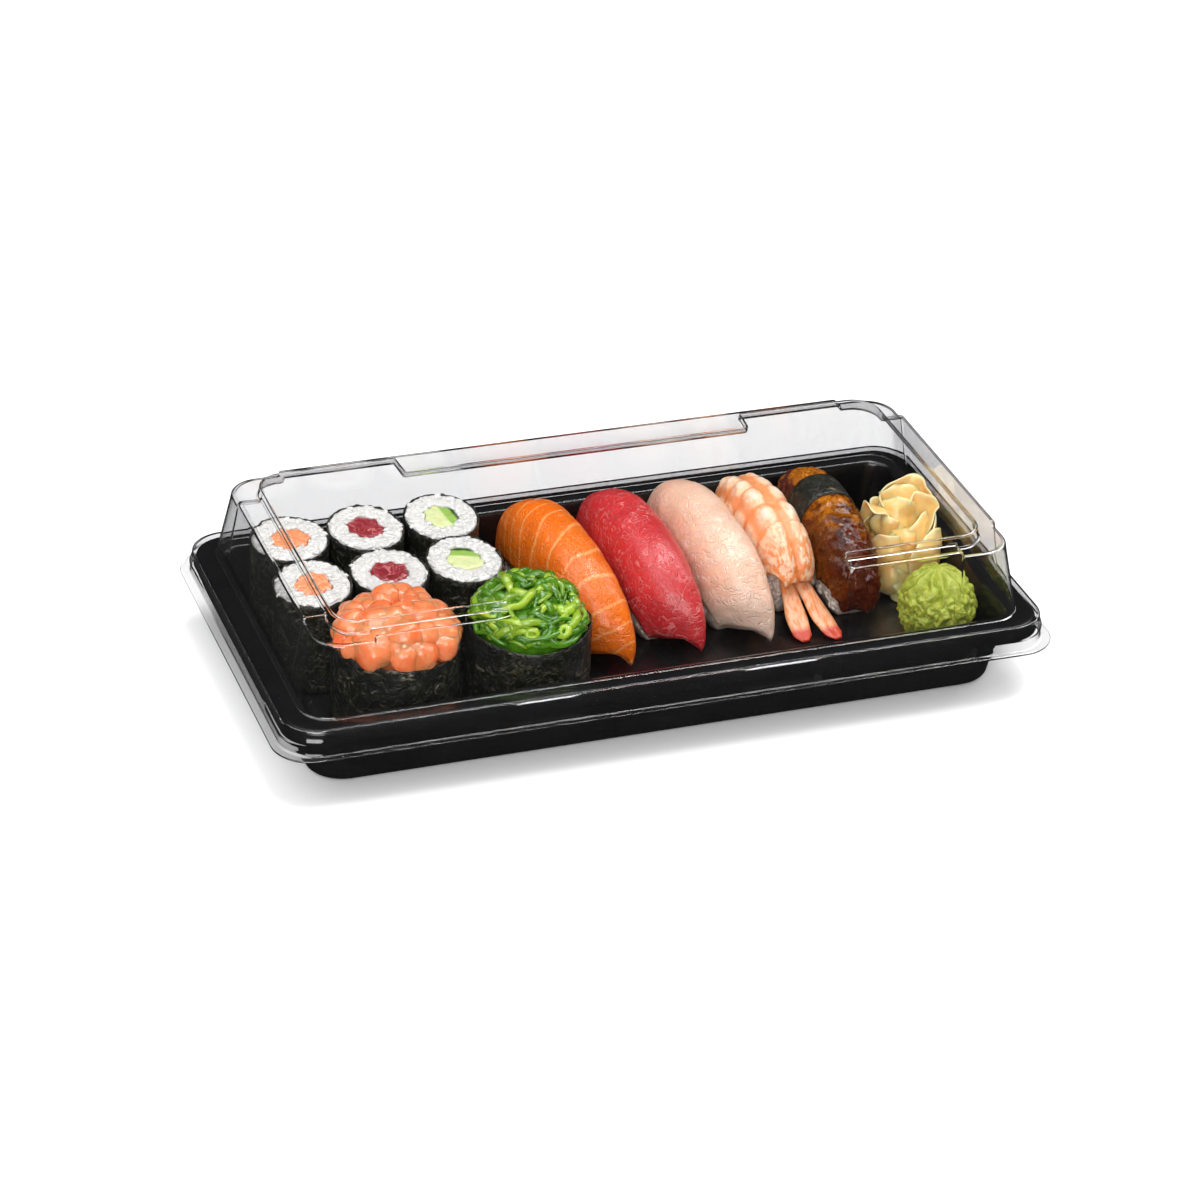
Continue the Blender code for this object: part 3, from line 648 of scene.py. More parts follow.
def makeLid(d):
    edge = d["edge"]
    inX, inY = d["topX"] - d["stripX"], d["topY"] - d["stripY"]
    padZ = d["stripZ"] - d["padDrop"]
    ledgeZ = rimZ + gap + d["sheet"] + 0.0001
    flangeZ = ledgeZ - edge - d["skirtDrop"]
    # places along the sides: even ones, and close ones at each notch, pad and window
    marks = [a * m + o for m in (d["notchHalf"], d["padX"]) for a in (-1, 1)
             for o in (-0.0015, -0.0010, -0.0006, -0.0003, 0.0, 0.0003, 0.0006)]
    marks += [w + o for pair in d["windows"] for w in pair for o in (-0.0006, -0.0002, 0.0002, 0.0006)]
    marks += ringSpots(d["straightX"], 81)
    longSpots = sorted(set(round(v, 5) for v in marks if abs(v) <= d["straightX"]))
    marks = [a * d["padY"] + o for a in (-1, 1) for o in (-0.0006, -0.0003, 0.0, 0.0003)]
    shortSpots = sorted(set(round(v, 5) for v in marks + ringSpots(d["straightY"], 33)))
    spots = (longSpots, shortSpots)

    def skirtPush(p):
        x, y, z = p
        k = smoothStep(z, flangeZ + 0.0006, flangeZ + 0.0014)
        if y < -d["skirtY"] + 0.002:
            for low, high in d["windows"]:
                rise = smoothStep(x, low - 0.0004, low + 0.0004)
                fall = smoothStep(x, high - 0.0004, high + 0.0004)
                y += d["windowDepth"] * k * rise * (1 - fall)
        cornerX, cornerY = d["skirtX"] - d["skirtCorner"], d["skirtY"] - d["skirtCorner"]
        off = max(0.0, cornerX - abs(x)) + max(0.0, cornerY - abs(y))
        near = 1 - smoothStep(off, d["beadReach"] - 0.0100, d["beadReach"])
        mid = ledgeZ - 0.0042
        ridge = max(0.0, 1 - ((z - mid) / 0.0013) ** 2) ** 0.7 * near * d["bead"]
        out = Vector((math.copysign(max(0.0, abs(x) - cornerX), x),
                      math.copysign(max(0.0, abs(y) - cornerY), y), 0))
        if out.length > 1e-6:
            out.normalize()
            x, y = x + out.x * ridge, y + out.y * ridge
        return (x, y, z)

    def level(hx, hy, r, z, low=None, notch=0.0, push=None, share=None):
        return lidRing(hx, hy, r, z, z if low is None else low, notch, spots, push, share)

    # each row: how far out from the panel's edge or from the top's edge, and how far down, in edge roundings
    panelRows = ((-8.0, 0.0), (-5.0, 0.0), (-2.0, 0.0), (-1.45, 0.15), (-1.1, 0.55), (-0.9, 1.2))
    stripRows = ((-0.35, -0.8), (-0.1, -0.25), (0.4, 0.0))
    topRows = ((-2.0, 0.0), (-1.1, 0.1), (-0.4, 0.45), (0.0, 1.2), (0.08, 1.8))
    walls, softWalls = 10, 3
    soft = len(panelRows) + len(stripRows) + len(topRows) + softWalls - 2
    rings = []
    for out, down in panelRows:
        z = d["panelZ"] - down * edge
        corner = d["panelCorner"] + min(0.0, out + 2) * edge
        share = (len(rings) - 1) / soft if rings else None
        rings.append(level(inX + out * edge, inY + out * edge, corner, z, z, d["notch"], None, share))
    for out, down in stripRows:
        rings.append(level(inX + out * edge, inY + out * edge, d["panelCorner"], d["stripZ"] - down * edge,
                           padZ - down * edge, d["notch"], None, (len(rings) - 1) / soft))
    for out, down in topRows:
        rings.append(level(d["topX"] + out * edge, d["topY"] + out * edge, d["corner"],
                           d["stripZ"] - down * edge, padZ - down * edge, 0.0, None, (len(rings) - 1) / soft))
    topZ, botZ = d["stripZ"] - 1.8 * edge, ledgeZ + 1.5 * edge
    for i in range(1, walls + 1):
        k = i / walls
        hx, hy = d["topX"] + (d["footX"] - d["topX"]) * k, d["topY"] + (d["footY"] - d["topY"]) * k
        rings.append(level(hx, hy, d["corner"], topZ + (botZ - topZ) * k,
                           topZ - d["padDrop"] + (botZ - topZ + d["padDrop"]) * k, 0.0, None,
                           (len(rings) - 1) / soft if i <= softWalls else None))
    for out, up in ((0.05, 0.9), (0.20, 0.3), (0.60, 0.05), (1.2, 0.0)):
        rings.append(level(d["footX"] + out * edge, d["footY"] + out * edge, d["corner"], ledgeZ + up * edge))
    for out, down, push in ((-1.9, 0.0, None), (-1.2, 0.0, None),
                            (-0.6, 0.1, skirtPush), (-0.15, 0.5, skirtPush)):
        rings.append(level(d["skirtX"] + out * edge, d["skirtY"] + out * edge, d["skirtCorner"],
                           ledgeZ - down * edge, push=push))
    drops = 12
    high, low = ledgeZ - 1.4 * edge, flangeZ + 0.9 * edge
    for i in range(drops + 1):
        k = i / drops
        rings.append(level(d["skirtX"] + edge * k, d["skirtY"] + edge * k, d["skirtCorner"],
                           high + (low - high) * k, push=skirtPush))
    for out, up in ((1.3, 0.25), (1.9, 0.0), (2.4, 0.0)):
        rings.append(level(d["skirtX"] + out * edge, d["skirtY"] + out * edge, d["skirtCorner"],
                           flangeZ + up * edge))
    for back, turn, down in ((0.0003, 0.0008, 0.0), (0.0, 0.001, 0.0001)):
        wide = edge + d["flange"] - back
        rings.append(level(d["skirtX"] + wide, d["skirtY"] + wide, d["skirtCorner"] + turn, flangeZ - down))
    count = len(rings[0])
    verts = [p for ring in rings for p in ring]
    faces = [tuple(reversed(f)) for f in bandFaces(len(rings), count)]
    # the flat panel: strips from its front side to its back side, and one face at each end
    run, turn = len(longSpots), len(shortSpots)
    back = run + turn + 2 * (d["cornerSteps"] + 1)
    for i in range(run - 1):
        faces.append((i, i + 1, back + run - 2 - i, back + run - 1 - i))
    faces.append(tuple(range(run - 1, back + 1)))
    faces.append(tuple(range(back + run - 1, count)) + (0,))
    # the flat panel, the ledge and the soft part of the front edge bend light least, so they hardly show
    places = np.array(verts)
    quiet = []
    flats = (len(panelRows) - 1, len(panelRows) + len(stripRows) - 1)      # the step's wall and flat strip
    for index, face in enumerate(faces):
        x, y, z = places[list(face)].mean(axis=0)
        inside = -d["notchHalf"] + 0.5 * d["softFade"][0] < x < d["notchHalf"] - d["softFade"][1]
        front = inside and y < 0.0005 - d["softIn"] and z > ledgeZ + 0.0015
        flat = z > d["panelZ"] - 0.00001 or abs(z - ledgeZ) < 0.00002
        quiet.append(int(front or flat or index // count in flats))
    clears = [lidLook(d, "lidClear", d["ior"]), lidLook(d, "lidClearSoft", d["softIor"])]
    thing = makeMesh("lidFilm", verts, faces, clears, slots=quiet)
    sheet = thing.modifiers.new("sheet", "SOLIDIFY")
    sheet.thickness = d["sheet"]
    sheet.offset = -1.0
    keepShape(thing)
    settle(thing, ["lid"])


def lidLook(d, name, ior):
    look = Look(name, d["roughness"], IOR=ior)
    tree, shader = look.tree, look.shader
    shader.inputs["Transmission Weight"].default_value = 1.0
    look.bump(look.noise(0.030, 1.0), 0.0002, 0.2)
    facing = addNode(tree, "LayerWeight", {"Blend": 0.5}).outputs["Facing"]
    look.color = mixColors(tree, stepRange(tree, facing, 0.55, 0.80), d["clear"], d["clearEdge"])
    path = addNode(tree, "LightPath")
    through = addNode(tree, "BsdfTransparent")
    pick = math2(tree, "MAXIMUM", path.outputs["Is Shadow Ray"], path.outputs["Is Reflection Ray"])
    mix = addNode(tree, "MixShader", {}, {0: pick, 1: shader.outputs[0], 2: through.outputs[0]})
    out = tree.nodes["Material Output"]
    tree.links.new(mix.outputs[0], out.inputs["Surface"])
    return look.done()


makeLid(lid)
print("lid made")


def uneven(angle, seed, amount):
    # the slow wobble round an outline
    return amount * (0.6 * math.cos(2 * angle + 1.7 * seed) + 0.4 * math.cos(3 * angle + 2.9 * seed))


nori = {
    "dark": (0.0040, 0.0050, 0.0028), "light": (0.013, 0.014, 0.0070),
    # the third colour is a painted highlight along the raised fold crests
    "crestGlint": (0.10, 0.095, 0.050), "stroke": (0.24, 0.21, 0.14), "roughness": 0.42,
}
rice = {
    "low": (0.76, 0.73, 0.68), "high": (0.86, 0.85, 0.82), "shade": (0.68, 0.65, 0.60), "roughness": 0.34,
    "paintedGlowLow": (0.88, 0.66, 0.52), "paintedGlowHigh": (0.97, 0.84, 0.74),     # beside the fish: a painted warm glow of light coming through the slices
    "grainLength": 0.0046, "grainWidth": 0.0019,
}


def noriLook(n):
    look = Look("nori", n["roughness"], Specular_IOR_Level=0.55, Coat_Weight=0.25, Coat_Roughness=0.22)
    look.mottle(n["dark"], n["light"], 0.0030, spread=0.16, fine=0.5)
    wide = look.noise(0.0042, 3.0, 1.6, stretch=(1.0, 1.0, 0.75))
    ridge = look.ramp(look.size(look.minus(wide, 0.5)), 0.055, 0.0)
    patch = look.ramp(look.noise(0.0100, 1.0), 0.48, 0.66)
    # pale colour painted along the raised fold crests, in patches: a painted highlight
    look.over(look.times(ridge, look.times(patch, 0.55)), n["crestGlint"])
    strokes = look.ramp(look.noise(0.0020, 2.0, 1.2, stretch=(0.45, 0.45, 1.3)), 0.60, 0.68)
    strokes = look.times(strokes, look.ramp(look.noise(0.0080, 1.0), 0.44, 0.58))
    look.over(look.times(strokes, 0.75), n["stroke"])
    folds = look.bump(look.plus(wide, look.times(ridge, 0.35)), 0.0016, 0.9)
    look.bump(look.noise(0.0012, 3.0, 0.6), 0.00022, 0.8, folds)
    return look.done()


def riceLook(name, low, high, r):
    look = Look(name, r["roughness"], Subsurface_Weight=0.35, Subsurface_Scale=0.0016,
                Subsurface_Radius=(1.0, 0.9, 0.8))
    look.mottle(low, high, 0.0022, spread=0.3, fine=0.3)
    look.over(look.ramp(look.lay()[2], 0.2, 1.0, 0.0, 0.2), r["shade"])
    look.bump(look.noise(0.0008, 2.0), 0.00012, 0.5)
    return look.done()


# the second rice look carries a painted warm glow, light coming through the fish
looks = {"nori": noriLook(nori), "rice": riceLook("rice", rice["low"], rice["high"], rice),
         "paintedGlowRice": riceLook("paintedGlowRice", rice["paintedGlowLow"], rice["paintedGlowHigh"], rice)}
riceGrains = [grainShape(rice["grainLength"] * k, rice["grainWidth"] * w, bend)
              for k, w, bend in ((1.0, 1.0, 0.10), (0.85, 1.05, 0.25), (1.12, 0.95, 0.18), (0.72, 1.1, 0.0))]

rolls = {
    "radiusX": 0.0127, "radiusY": 0.0137, "sheet": 0.0005, "lean": math.radians(4.0),
    "core": 0.0058, "grains": 190, "sides": 96,
    # dark and light flesh, then its lines, or the cucumber's flesh near the skin and its skin
    "salmon": ((0.680, 0.19125, 0.06375), (0.86, 0.33, 0.15), (0.90, 0.55, 0.36)),
    "tuna": ((0.147, 0.0102, 0.0156), (0.36, 0.035, 0.045), (0.55, 0.16, 0.17)),
    "cucumber": ((0.5456, 0.616, 0.264), (0.76, 0.80, 0.46), (0.30, 0.48, 0.10), (0.030, 0.090, 0.012)),
    "skinTurn": (0.0, 0.0, 0.15, 0.0, 0.0, 1.25),    # which way the cucumber's skin lies
    "order": (("salmon", "back"), ("tuna", "back"), ("cucumber", "back"),
              ("salmon", "front"), ("tuna", "front"), ("cucumber", "front")),
}


def rollNori(name, cx, cy, topZ, seed, d):
    sides, rows = d["sides"], 22

    def ring(inset, at, brim):
        points = []
        for i in range(sides):
            a = 2 * math.pi * i / sides
            grow = 1.0 + uneven(a, seed, 0.022)
            edge = topZ - 0.0013 + math.tan(d["lean"]) * d["radiusY"] * math.sin(a)
            z = foodZ + (edge - foodZ) * at
            spot = Vector((math.cos(a) * 0.012, math.sin(a) * 0.012, z * 0.5))
            fold = 0.00022 * ripple(spot, 0.0042, seed * 3.1, 2) * smoothStep(at, 0, 0.1)
            nick = 0.0007 * noise.noise(Vector((math.cos(a) * 7, math.sin(a) * 7, seed))) * brim
            points.append((cx + (d["radiusX"] * grow - inset - abs(fold)) * math.cos(a),
                           cy + (d["radiusY"] * grow - inset - abs(fold)) * math.sin(a), z + nick))
        return points

    rings = [ring(0.0, i / (rows - 1), 1.0 if i == rows - 1 else 0.0) for i in range(rows)]
    rings += [ring(d["sheet"] * 0.5, 1.006, 1.0), ring(d["sheet"], 1.0, 1.0), ring(d["sheet"], 0.5, 0.0),
              ring(d["sheet"], 0.0, 0.0)]
    verts, faces = lofted(rings, looped=True)
    settle(makeMesh("noriSheet_" + name, verts, faces, looks["nori"]), [name + "_nori"])


def coreRadius(a, seed, d):
    nick = 0.05 * noise.noise(Vector((3.2 * math.cos(a), 3.2 * math.sin(a), 2.0 * seed)))
    teeth = 0.075 * math.cos(7 * a + seed + 0.9 * math.sin(2 * a + seed))
    return d["core"] * (0.99 + teeth + uneven(a, seed, 0.10) + nick)


def rollRice(name, cx, cy, topZ, seed, d):
    sides = d["sides"]

    def slope(y):
        return topZ + math.tan(d["lean"]) * (y - cy)

    def spot(a, k, drop):
        # k runs from the core's edge to the nori
        grow = 1.0 + uneven(a, seed, 0.022)
        outX, outY = d["radiusX"] * grow - d["sheet"] - 0.0003, d["radiusY"] * grow - d["sheet"] - 0.0003
        r = coreRadius(a, seed, d) + 0.0003
        x = (r + (outX - r) * k) * math.cos(a)
        y = (r * (1 + 0.05 * (1 - k)) + (outY - r) * k) * math.sin(a)
        return (cx + x, cy + y, slope(cy + y) - drop)

    rings = []
    for k, drop in ((0.0, None), (0.0, 0.0018), (0.05, 0.0010), (0.15, 0.0007), (0.3, 0.0006),
                    (0.45, 0.0006), (0.6, 0.0006), (0.75, 0.0006), (0.88, 0.0008), (0.95, 0.0011),
                    (1.0, 0.0015), (1.0, None)):
        ring = []
        for i in range(sides):
            x, y, z = spot(2 * math.pi * i / sides, k, drop or 0.0)
            z = foodZ if drop is None else z + 0.0004 * ripple(Vector((x, y, z)), 0.0020, seed, 2) - 0.0002
            ring.append((x, y, z))
        rings.append(ring)
    verts, faces = lofted(rings, looped=True)
    parts = [(verts, [tuple(reversed(f)) for f in faces], np.zeros((len(verts), 3)))]
    rng = random.Random(40 + seed)
    places = []
    for i in range(d["grains"]):
        a = rng.uniform(0, 2 * math.pi)
        k = rng.uniform(0.08, 0.90)
        x, y, z = spot(a, k, 0.0012 + 0.0006 * (abs(k - 0.5) * 2) ** 4 + rng.uniform(-0.0001, 0.0001))
        spin = rng.uniform(0, math.pi) if 0.2 < k < 0.75 else a + math.pi / 2 + rng.gauss(0, 0.5)
        turn = np.array(Matrix.Rotation(spin, 3, "Z") @ Matrix.Rotation(rng.gauss(0, 0.15), 3, "Y"))
        places.append((rng.randrange(len(riceGrains)), turn * rng.uniform(0.8, 1.0), (x, y, z), rng.random()))
    parts.append(scattered(riceGrains, places))
    verts, faces, lay = joined(parts)
    settle(makeMesh("riceGrains_" + name, verts, faces, looks["rice"], lay), [name + "_rice"])


def fillingLook(kind, low, high, lines, skin=None):
    if kind == "salmon":
        look = Look("rollSalmon", 0.30, Subsurface_Weight=0.3, Subsurface_Scale=0.002, Coat_Weight=0.15)
        look.mottle(low, high, 0.0022)
        look.over(look.group("moistRelief", {"Curl Size": 0.0030}).outputs["Lines"], lines)
        look.bump(look.noise(0.0010, 2.0), 0.0002, 0.6)
    elif kind == "tuna":
        look = Look("rollTuna", 0.30, Subsurface_Weight=0.2, Subsurface_Scale=0.0015, Coat_Weight=0.15)
        look.mottle(low, high, 0.0020)
        look.over(look.group("moistRelief", {"Curl Size": 0.0042}).outputs["Lines"], lines)
        look.bump(look.noise(0.0009, 2.0), 0.0002, 0.6)
    else:
        look = Look("rollCucumber", 0.25, Subsurface_Weight=0.25, Subsurface_Scale=0.002, Coat_Weight=0.2)
        look.mottle(low, high, 0.0018)
        across = look.lay()[1]
        look.over(look.ramp(across, 0.10, 0.28), lines)
        look.over(look.ramp(across, 0.62, 0.80), skin)
        look.bump(look.noise(0.0007, 2.0), 0.00015, 0.5)
    return look.done()


def rollFilling(name, kind, cx, cy, topZ, seed, d):
    sides = 72
    rings, lays = [], []
    for k, drop in ((1.0, None), (1.0, 0.0016), (0.97, 0.0011), (0.90, 0.0009),
                    (0.75, 0.0008), (0.55, 0.0008), (0.35, 0.0008), (0.15, 0.0008)):
        ring = []
        for i in range(sides):
            a = 2 * math.pi * i / sides
            r = coreRadius(a, seed, d)
            x, y = r * k * math.cos(a), r * 1.05 * k * math.sin(a)
            z = foodZ if drop is None else (topZ + math.tan(d["lean"]) * y - drop
                                            + 0.0002 * ripple(Vector((x, y, 0)), 0.0022, seed + 5, 2))
            ring.append((cx + x, cy + y, z))
            turn = d["skinTurn"][seed % 6]
            across = (x * math.cos(turn) + y * math.sin(turn)) / d["core"]
            lays.append((x / d["core"], across, 0.0))
        rings.append(ring)
    verts, faces = lofted(rings)
    lays += [(0, 0, 0), (0, 0, 0)]
    settle(makeMesh("filling_" + name, verts, faces, looks[kind], lays), [name + "_" + kind])


for kind in ("salmon", "tuna", "cucumber"):
    looks[kind] = fillingLook(kind, *rolls[kind])
for seed, (kind, row) in enumerate(rolls["order"]):
    name = "roll_" + kind + "_" + row
    low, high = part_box(name + "_nori")
    cx, cy = (low.x + high.x) / 2, (low.y + high.y) / 2
    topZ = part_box(name + "_rice")[1].z - math.tan(rolls["lean"]) * (rolls["radiusY"] - 0.0024)
    rollNori(name, cx, cy, topZ, seed, rolls)
    rollRice(name, cx, cy, topZ, seed, rolls)
    rollFilling(name, kind, cx, cy, topZ, seed, rolls)
print("rolls made")


goldenTurn = 2.39996                                # spreads the lumps evenly, radians
cups = {
    "cup_salmon": {"radius": 0.0204, "band": 0.0312, "dome": 0.0125, "seed": 1, "sheet": 0.0006},
    "cup_seaweed": {"radius": 0.0206, "band": 0.0300, "dome": 0.0125, "seed": 2, "sheet": 0.0006},
    "pieces": 66, "pieceSize": 0.0090, "pieceScales": (1.0, 0.85, 1.12, 0.95),
    "strands": 120, "strandWidth": 0.0030,
    "coral": (0.93, 0.205, 0.062), "coralDeep": (0.88, 0.135, 0.030), "coralPale": (0.96, 0.33, 0.15),
    "green": (0.10, 0.29, 0.010), "greenDark": (0.022, 0.110, 0.006), "greenPale": (0.34, 0.50, 0.035),
}


def cupBand(name, cx, cy, d):
    sides, rows, seed = 128, 26, d["seed"]

    def ring(inset, at):
        points = []
        for i in range(sides):
            a = 2 * math.pi * i / sides
            brim = foodZ + d["band"] + 0.0006 * math.cos(3 * a + seed)
            brim += 0.0005 * noise.noise(Vector((math.cos(a) * 5, math.sin(a) * 5, seed))) - 0.0004
            z = foodZ + (brim - foodZ) * at
            spot = Vector((math.cos(a) * 0.02, math.sin(a) * 0.02, z * 0.6))
            fold = 0.0007 * ripple(spot, 0.0075, seed * 2.3, 3) * smoothStep(at, 0, 0.15)
            r = d["radius"] * (1 + uneven(a, seed, 0.02)) - inset - abs(fold)
            points.append((cx + r * math.cos(a), cy + r * math.sin(a), z))
        return points

    rings = [ring(0.0, i / (rows - 1)) for i in range(rows)]
    rings += [ring(d["sheet"] * inset, at)
              for inset, at in ((0.5, 1.006), (1.0, 1.0), (1.0, 0.5), (1.0, 0.0))]
    verts, faces = lofted(rings, looped=True)
    settle(makeMesh("noriSheet_" + name, verts, faces, looks["nori"]), [name + "_nori"])


def domeSpot(d, cx, cy, tilt, a, out=0.0):
    # a place on the cup's heap: tilt 0 at the brim, pi/2 at the top
    spread = math.cos(tilt) ** 0.75
    r = (d["radius"] * (1 + uneven(a, d["seed"], 0.02)) - d["sheet"] - 0.0010 + out * 0.6) * spread
    z = foodZ + d["band"] + (d["dome"] + out) * math.sin(tilt)
    return Vector((cx + r * math.cos(a), cy + r * math.sin(a), z))


def domeCore(d, cx, cy, depth):
    rings = []
    sides, rows = 48, 12
    turns = [2 * math.pi * i / sides for i in range(sides)]
    for at in (0.0, 0.5):
        z = foodZ + (d["band"] - 0.001) * at
        rings.append([(*domeSpot(d, cx, cy, 0.0, a)[:2], z) for a in turns])
    for j in range(rows):
        tilt = math.pi / 2 * j / rows
        rings.append([tuple(domeSpot(d, cx, cy, tilt, a, -depth)) for a in turns])
    verts, faces = lofted(rings)
    return verts, faces, np.zeros((len(verts), 3))


def dicePiece(size, square, seed):
    # a rounded, slightly uneven lump
    thing = bmesh.new()
    bmesh.ops.create_icosphere(thing, subdivisions=3, radius=1.0)
    points = []
    for v in thing.verts:
        p = v.co.normalized()
        big = (abs(p.x) ** square + abs(p.y) ** square + abs(p.z) ** square) ** (1 / square)
        q = p / big
        q *= 1 + 0.10 * noise.noise(p * 1.7 + Vector((seed, 0, 0)))
        points.append(tuple(q * size / 2))
    faces = [tuple(v.index for v in f.verts) for f in thing.faces]
    thing.free()
    return np.array(points), faces


def salmonHeap(name, cx, cy, d, c):
    rng = random.Random(7)
    shapes = [dicePiece(c["pieceSize"] * k, 3.1 if k > 1 else 2.6, n) for n, k in enumerate(c["pieceScales"])]
    places = []
    count = c["pieces"]
    for i in range(count):
        share = (i + 0.5) / count
        tilt = math.asin(min(1.0, share ** 0.9))
        a = i * goldenTurn + rng.gauss(0, 0.12)
        spot = domeSpot(d, cx, cy, tilt, a, -0.0040 + rng.uniform(-0.0008, 0.0008))
        spot.z = max(spot.z, foodZ + d["band"] + 0.0016 + rng.uniform(0, 0.0010))
        spin = rng.uniform(0, 6.3)
        axis = Vector((rng.gauss(0, 1), rng.gauss(0, 1), 1)).normalized()
        turn = np.array(Matrix.Rotation(spin, 3, axis))
        number = rng.randrange(len(shapes))
        places.append((number, turn * rng.uniform(0.85, 1.12), tuple(spot), rng.random()))
    verts, faces, lay = joined([domeCore(d, cx, cy, 0.0045), scattered(shapes, places)])
    look = Look("salmonPieces", 0.14, Subsurface_Weight=0.55, Subsurface_Scale=0.0030,
                Coat_Weight=0.4, Coat_Roughness=0.06)
    look.mottle(c["coral"], c["coralPale"], 0.0030, spread=0.22)
    look.over(look.ramp(look.lay()[2], 0.75, 0.0, 0.0, 0.4), c["coralDeep"])
    look.over(look.ramp(look.noise(0.0045), 0.60, 0.75, 0.0, 0.5), c["coralPale"])
    look.over(look.ramp(look.noise(0.0018, 2.0, 0.8), 0.54, 0.70, 0.0, 0.55), c["coralPale"])
    look.over(look.ramp(look.noise(0.0060, 1.0), 0.50, 0.35, 0.0, 0.5), c["coralDeep"])
    look.bump(look.noise(0.0022, 2.0), 0.0005, 0.7)
    thing = makeMesh("salmonPieces", verts, faces, look.done(), lay)
    settle(thing, [name + "_salmon"])


def tubeAlong(points, widths, sides=6, flat=0.55, value=0.0):
    # a soft strand through the points; lay keeps (along, across, value)
    verts, lay = [], []
    side = None
    for i, p in enumerate(points):
        ahead = (points[min(i + 1, len(points) - 1)] - points[max(i - 1, 0)]).normalized()
        side = ahead.cross(Vector((0, 0, 1))) if side is None else side - ahead * side.dot(ahead)
        side = side.normalized() if side.length > 1e-9 else ahead.orthogonal().normalized()
        up = side.cross(ahead)
        for j in range(sides):
            a = 2 * math.pi * j / sides
            verts.append(p + side * (math.cos(a) * widths[i] / 2) + up * (math.sin(a) * widths[i] / 2 * flat))
            lay.append((i / (len(points) - 1), j / sides, value))
    faces = bandFaces(len(points), sides)
    faces += [tuple(reversed(range(sides))), tuple(range((len(points) - 1) * sides, len(points) * sides))]
    return [tuple(v) for v in verts], faces, lay


def seaweedHeap(name, cx, cy, d, c):
    rng = random.Random(11)
    parts = [domeCore(d, cx, cy, 0.0030)]
    for n in range(c["strands"]):
        tilt = math.asin(rng.random() ** 0.8) * 0.96
        a = rng.uniform(0, 2 * math.pi)
        heading = rng.uniform(0, 2 * math.pi)
        bend = rng.gauss(0, 0.22)
        lift = rng.uniform(-0.0022, -0.0004)
        length = rng.uniform(0.012, 0.024)
        steps = 16
        points = []
        for i in range(steps):
            dip = 0.0008 * math.sin(i * 0.8 + n) - 0.0012 * abs(2 * i / (steps - 1) - 1) ** 4
            spot = domeSpot(d, cx, cy, tilt, a, lift + dip)
            points.append(spot)
            heading += bend + rng.gauss(0, 0.10)
            move = length / steps
            r = max(0.003, (Vector((spot.x - cx, spot.y - cy))).length)
            a += math.cos(heading) * move / r
            tilt += math.sin(heading) * move / 0.019
            if tilt > 1.5:
                tilt, a, heading = 1.5, a + math.pi * 0.2, -heading
            if tilt < 0.02:
                tilt, heading = 0.02, -heading
        width = c["strandWidth"] * rng.uniform(0.6, 1.35)
        swells = [math.sin(math.pi * (0.08 + 0.84 * i / (steps - 1))) ** 0.5 for i in range(steps)]
        widths = [width * (0.35 + 0.65 * k) for k in swells]
        parts.append(tubeAlong(points, widths, 6, rng.uniform(0.5, 0.9), rng.random()))
    verts, faces, lay = joined(parts)
    look = Look("seaweed", 0.14, Subsurface_Weight=0.25, Subsurface_Scale=0.0015,
                Coat_Weight=0.5, Coat_Roughness=0.06)
    look.mottle(c["greenDark"], c["green"], 0.0025, spread=0.22)
    look.over(look.ramp(look.lay()[2], 0.45, 0.95), c["greenPale"])
    look.bump(look.noise(0.0010, 2.0), 0.0002, 0.6)
    thing = makeMesh("seaweedStrands", verts, faces, look.done(), lay)
    settle(thing, [name + "_seaweed"])


for name, makeHeap in (("cup_salmon", salmonHeap), ("cup_seaweed", seaweedHeap)):
    low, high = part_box(name + "_nori")
    cx, cy = (low.x + high.x) / 2, (low.y + high.y) / 2
    cupBand(name, cx, cy, cups[name])
    makeHeap(name, cx, cy, cups[name], cups)
print("cups made")


nigiri = {
    # crown x and y, turn, rice behind and before it, half width, height,
    # then reach ahead, behind and skew of the slice
    "salmon": (-0.0130, 0.0266, 7.0, 0.0208, 0.0340, 0.0100, 0.0284, 0.0076, 0.0018, 0.0072),
    "tuna": (0.0143, 0.0264, 5.0, 0.0206, 0.0305, 0.0098, 0.0284, 0.0078, 0.0018, 0.0074),
    "whitefish": (0.0390, 0.0264, 5.0, 0.0206, 0.0305, 0.0094, 0.0282, 0.0078, 0.0018, 0.0074),
    "shrimp": (0.0620, 0.0262, 5.5, 0.0206, 0.0245, 0.0076, 0.0272, 0.0040, 0.0018, 0.0),
    "eel": (0.0834, 0.0250, 0.0, 0.0212, 0.0310, 0.0082, 0.0266, 0.0035, 0.0018, 0.0025),
    "topping": 0.0062, "under": 0.0005, "edgeShare": 0.2, "drape": 72, "span": (-82, 83),
    "grains": 260,
}


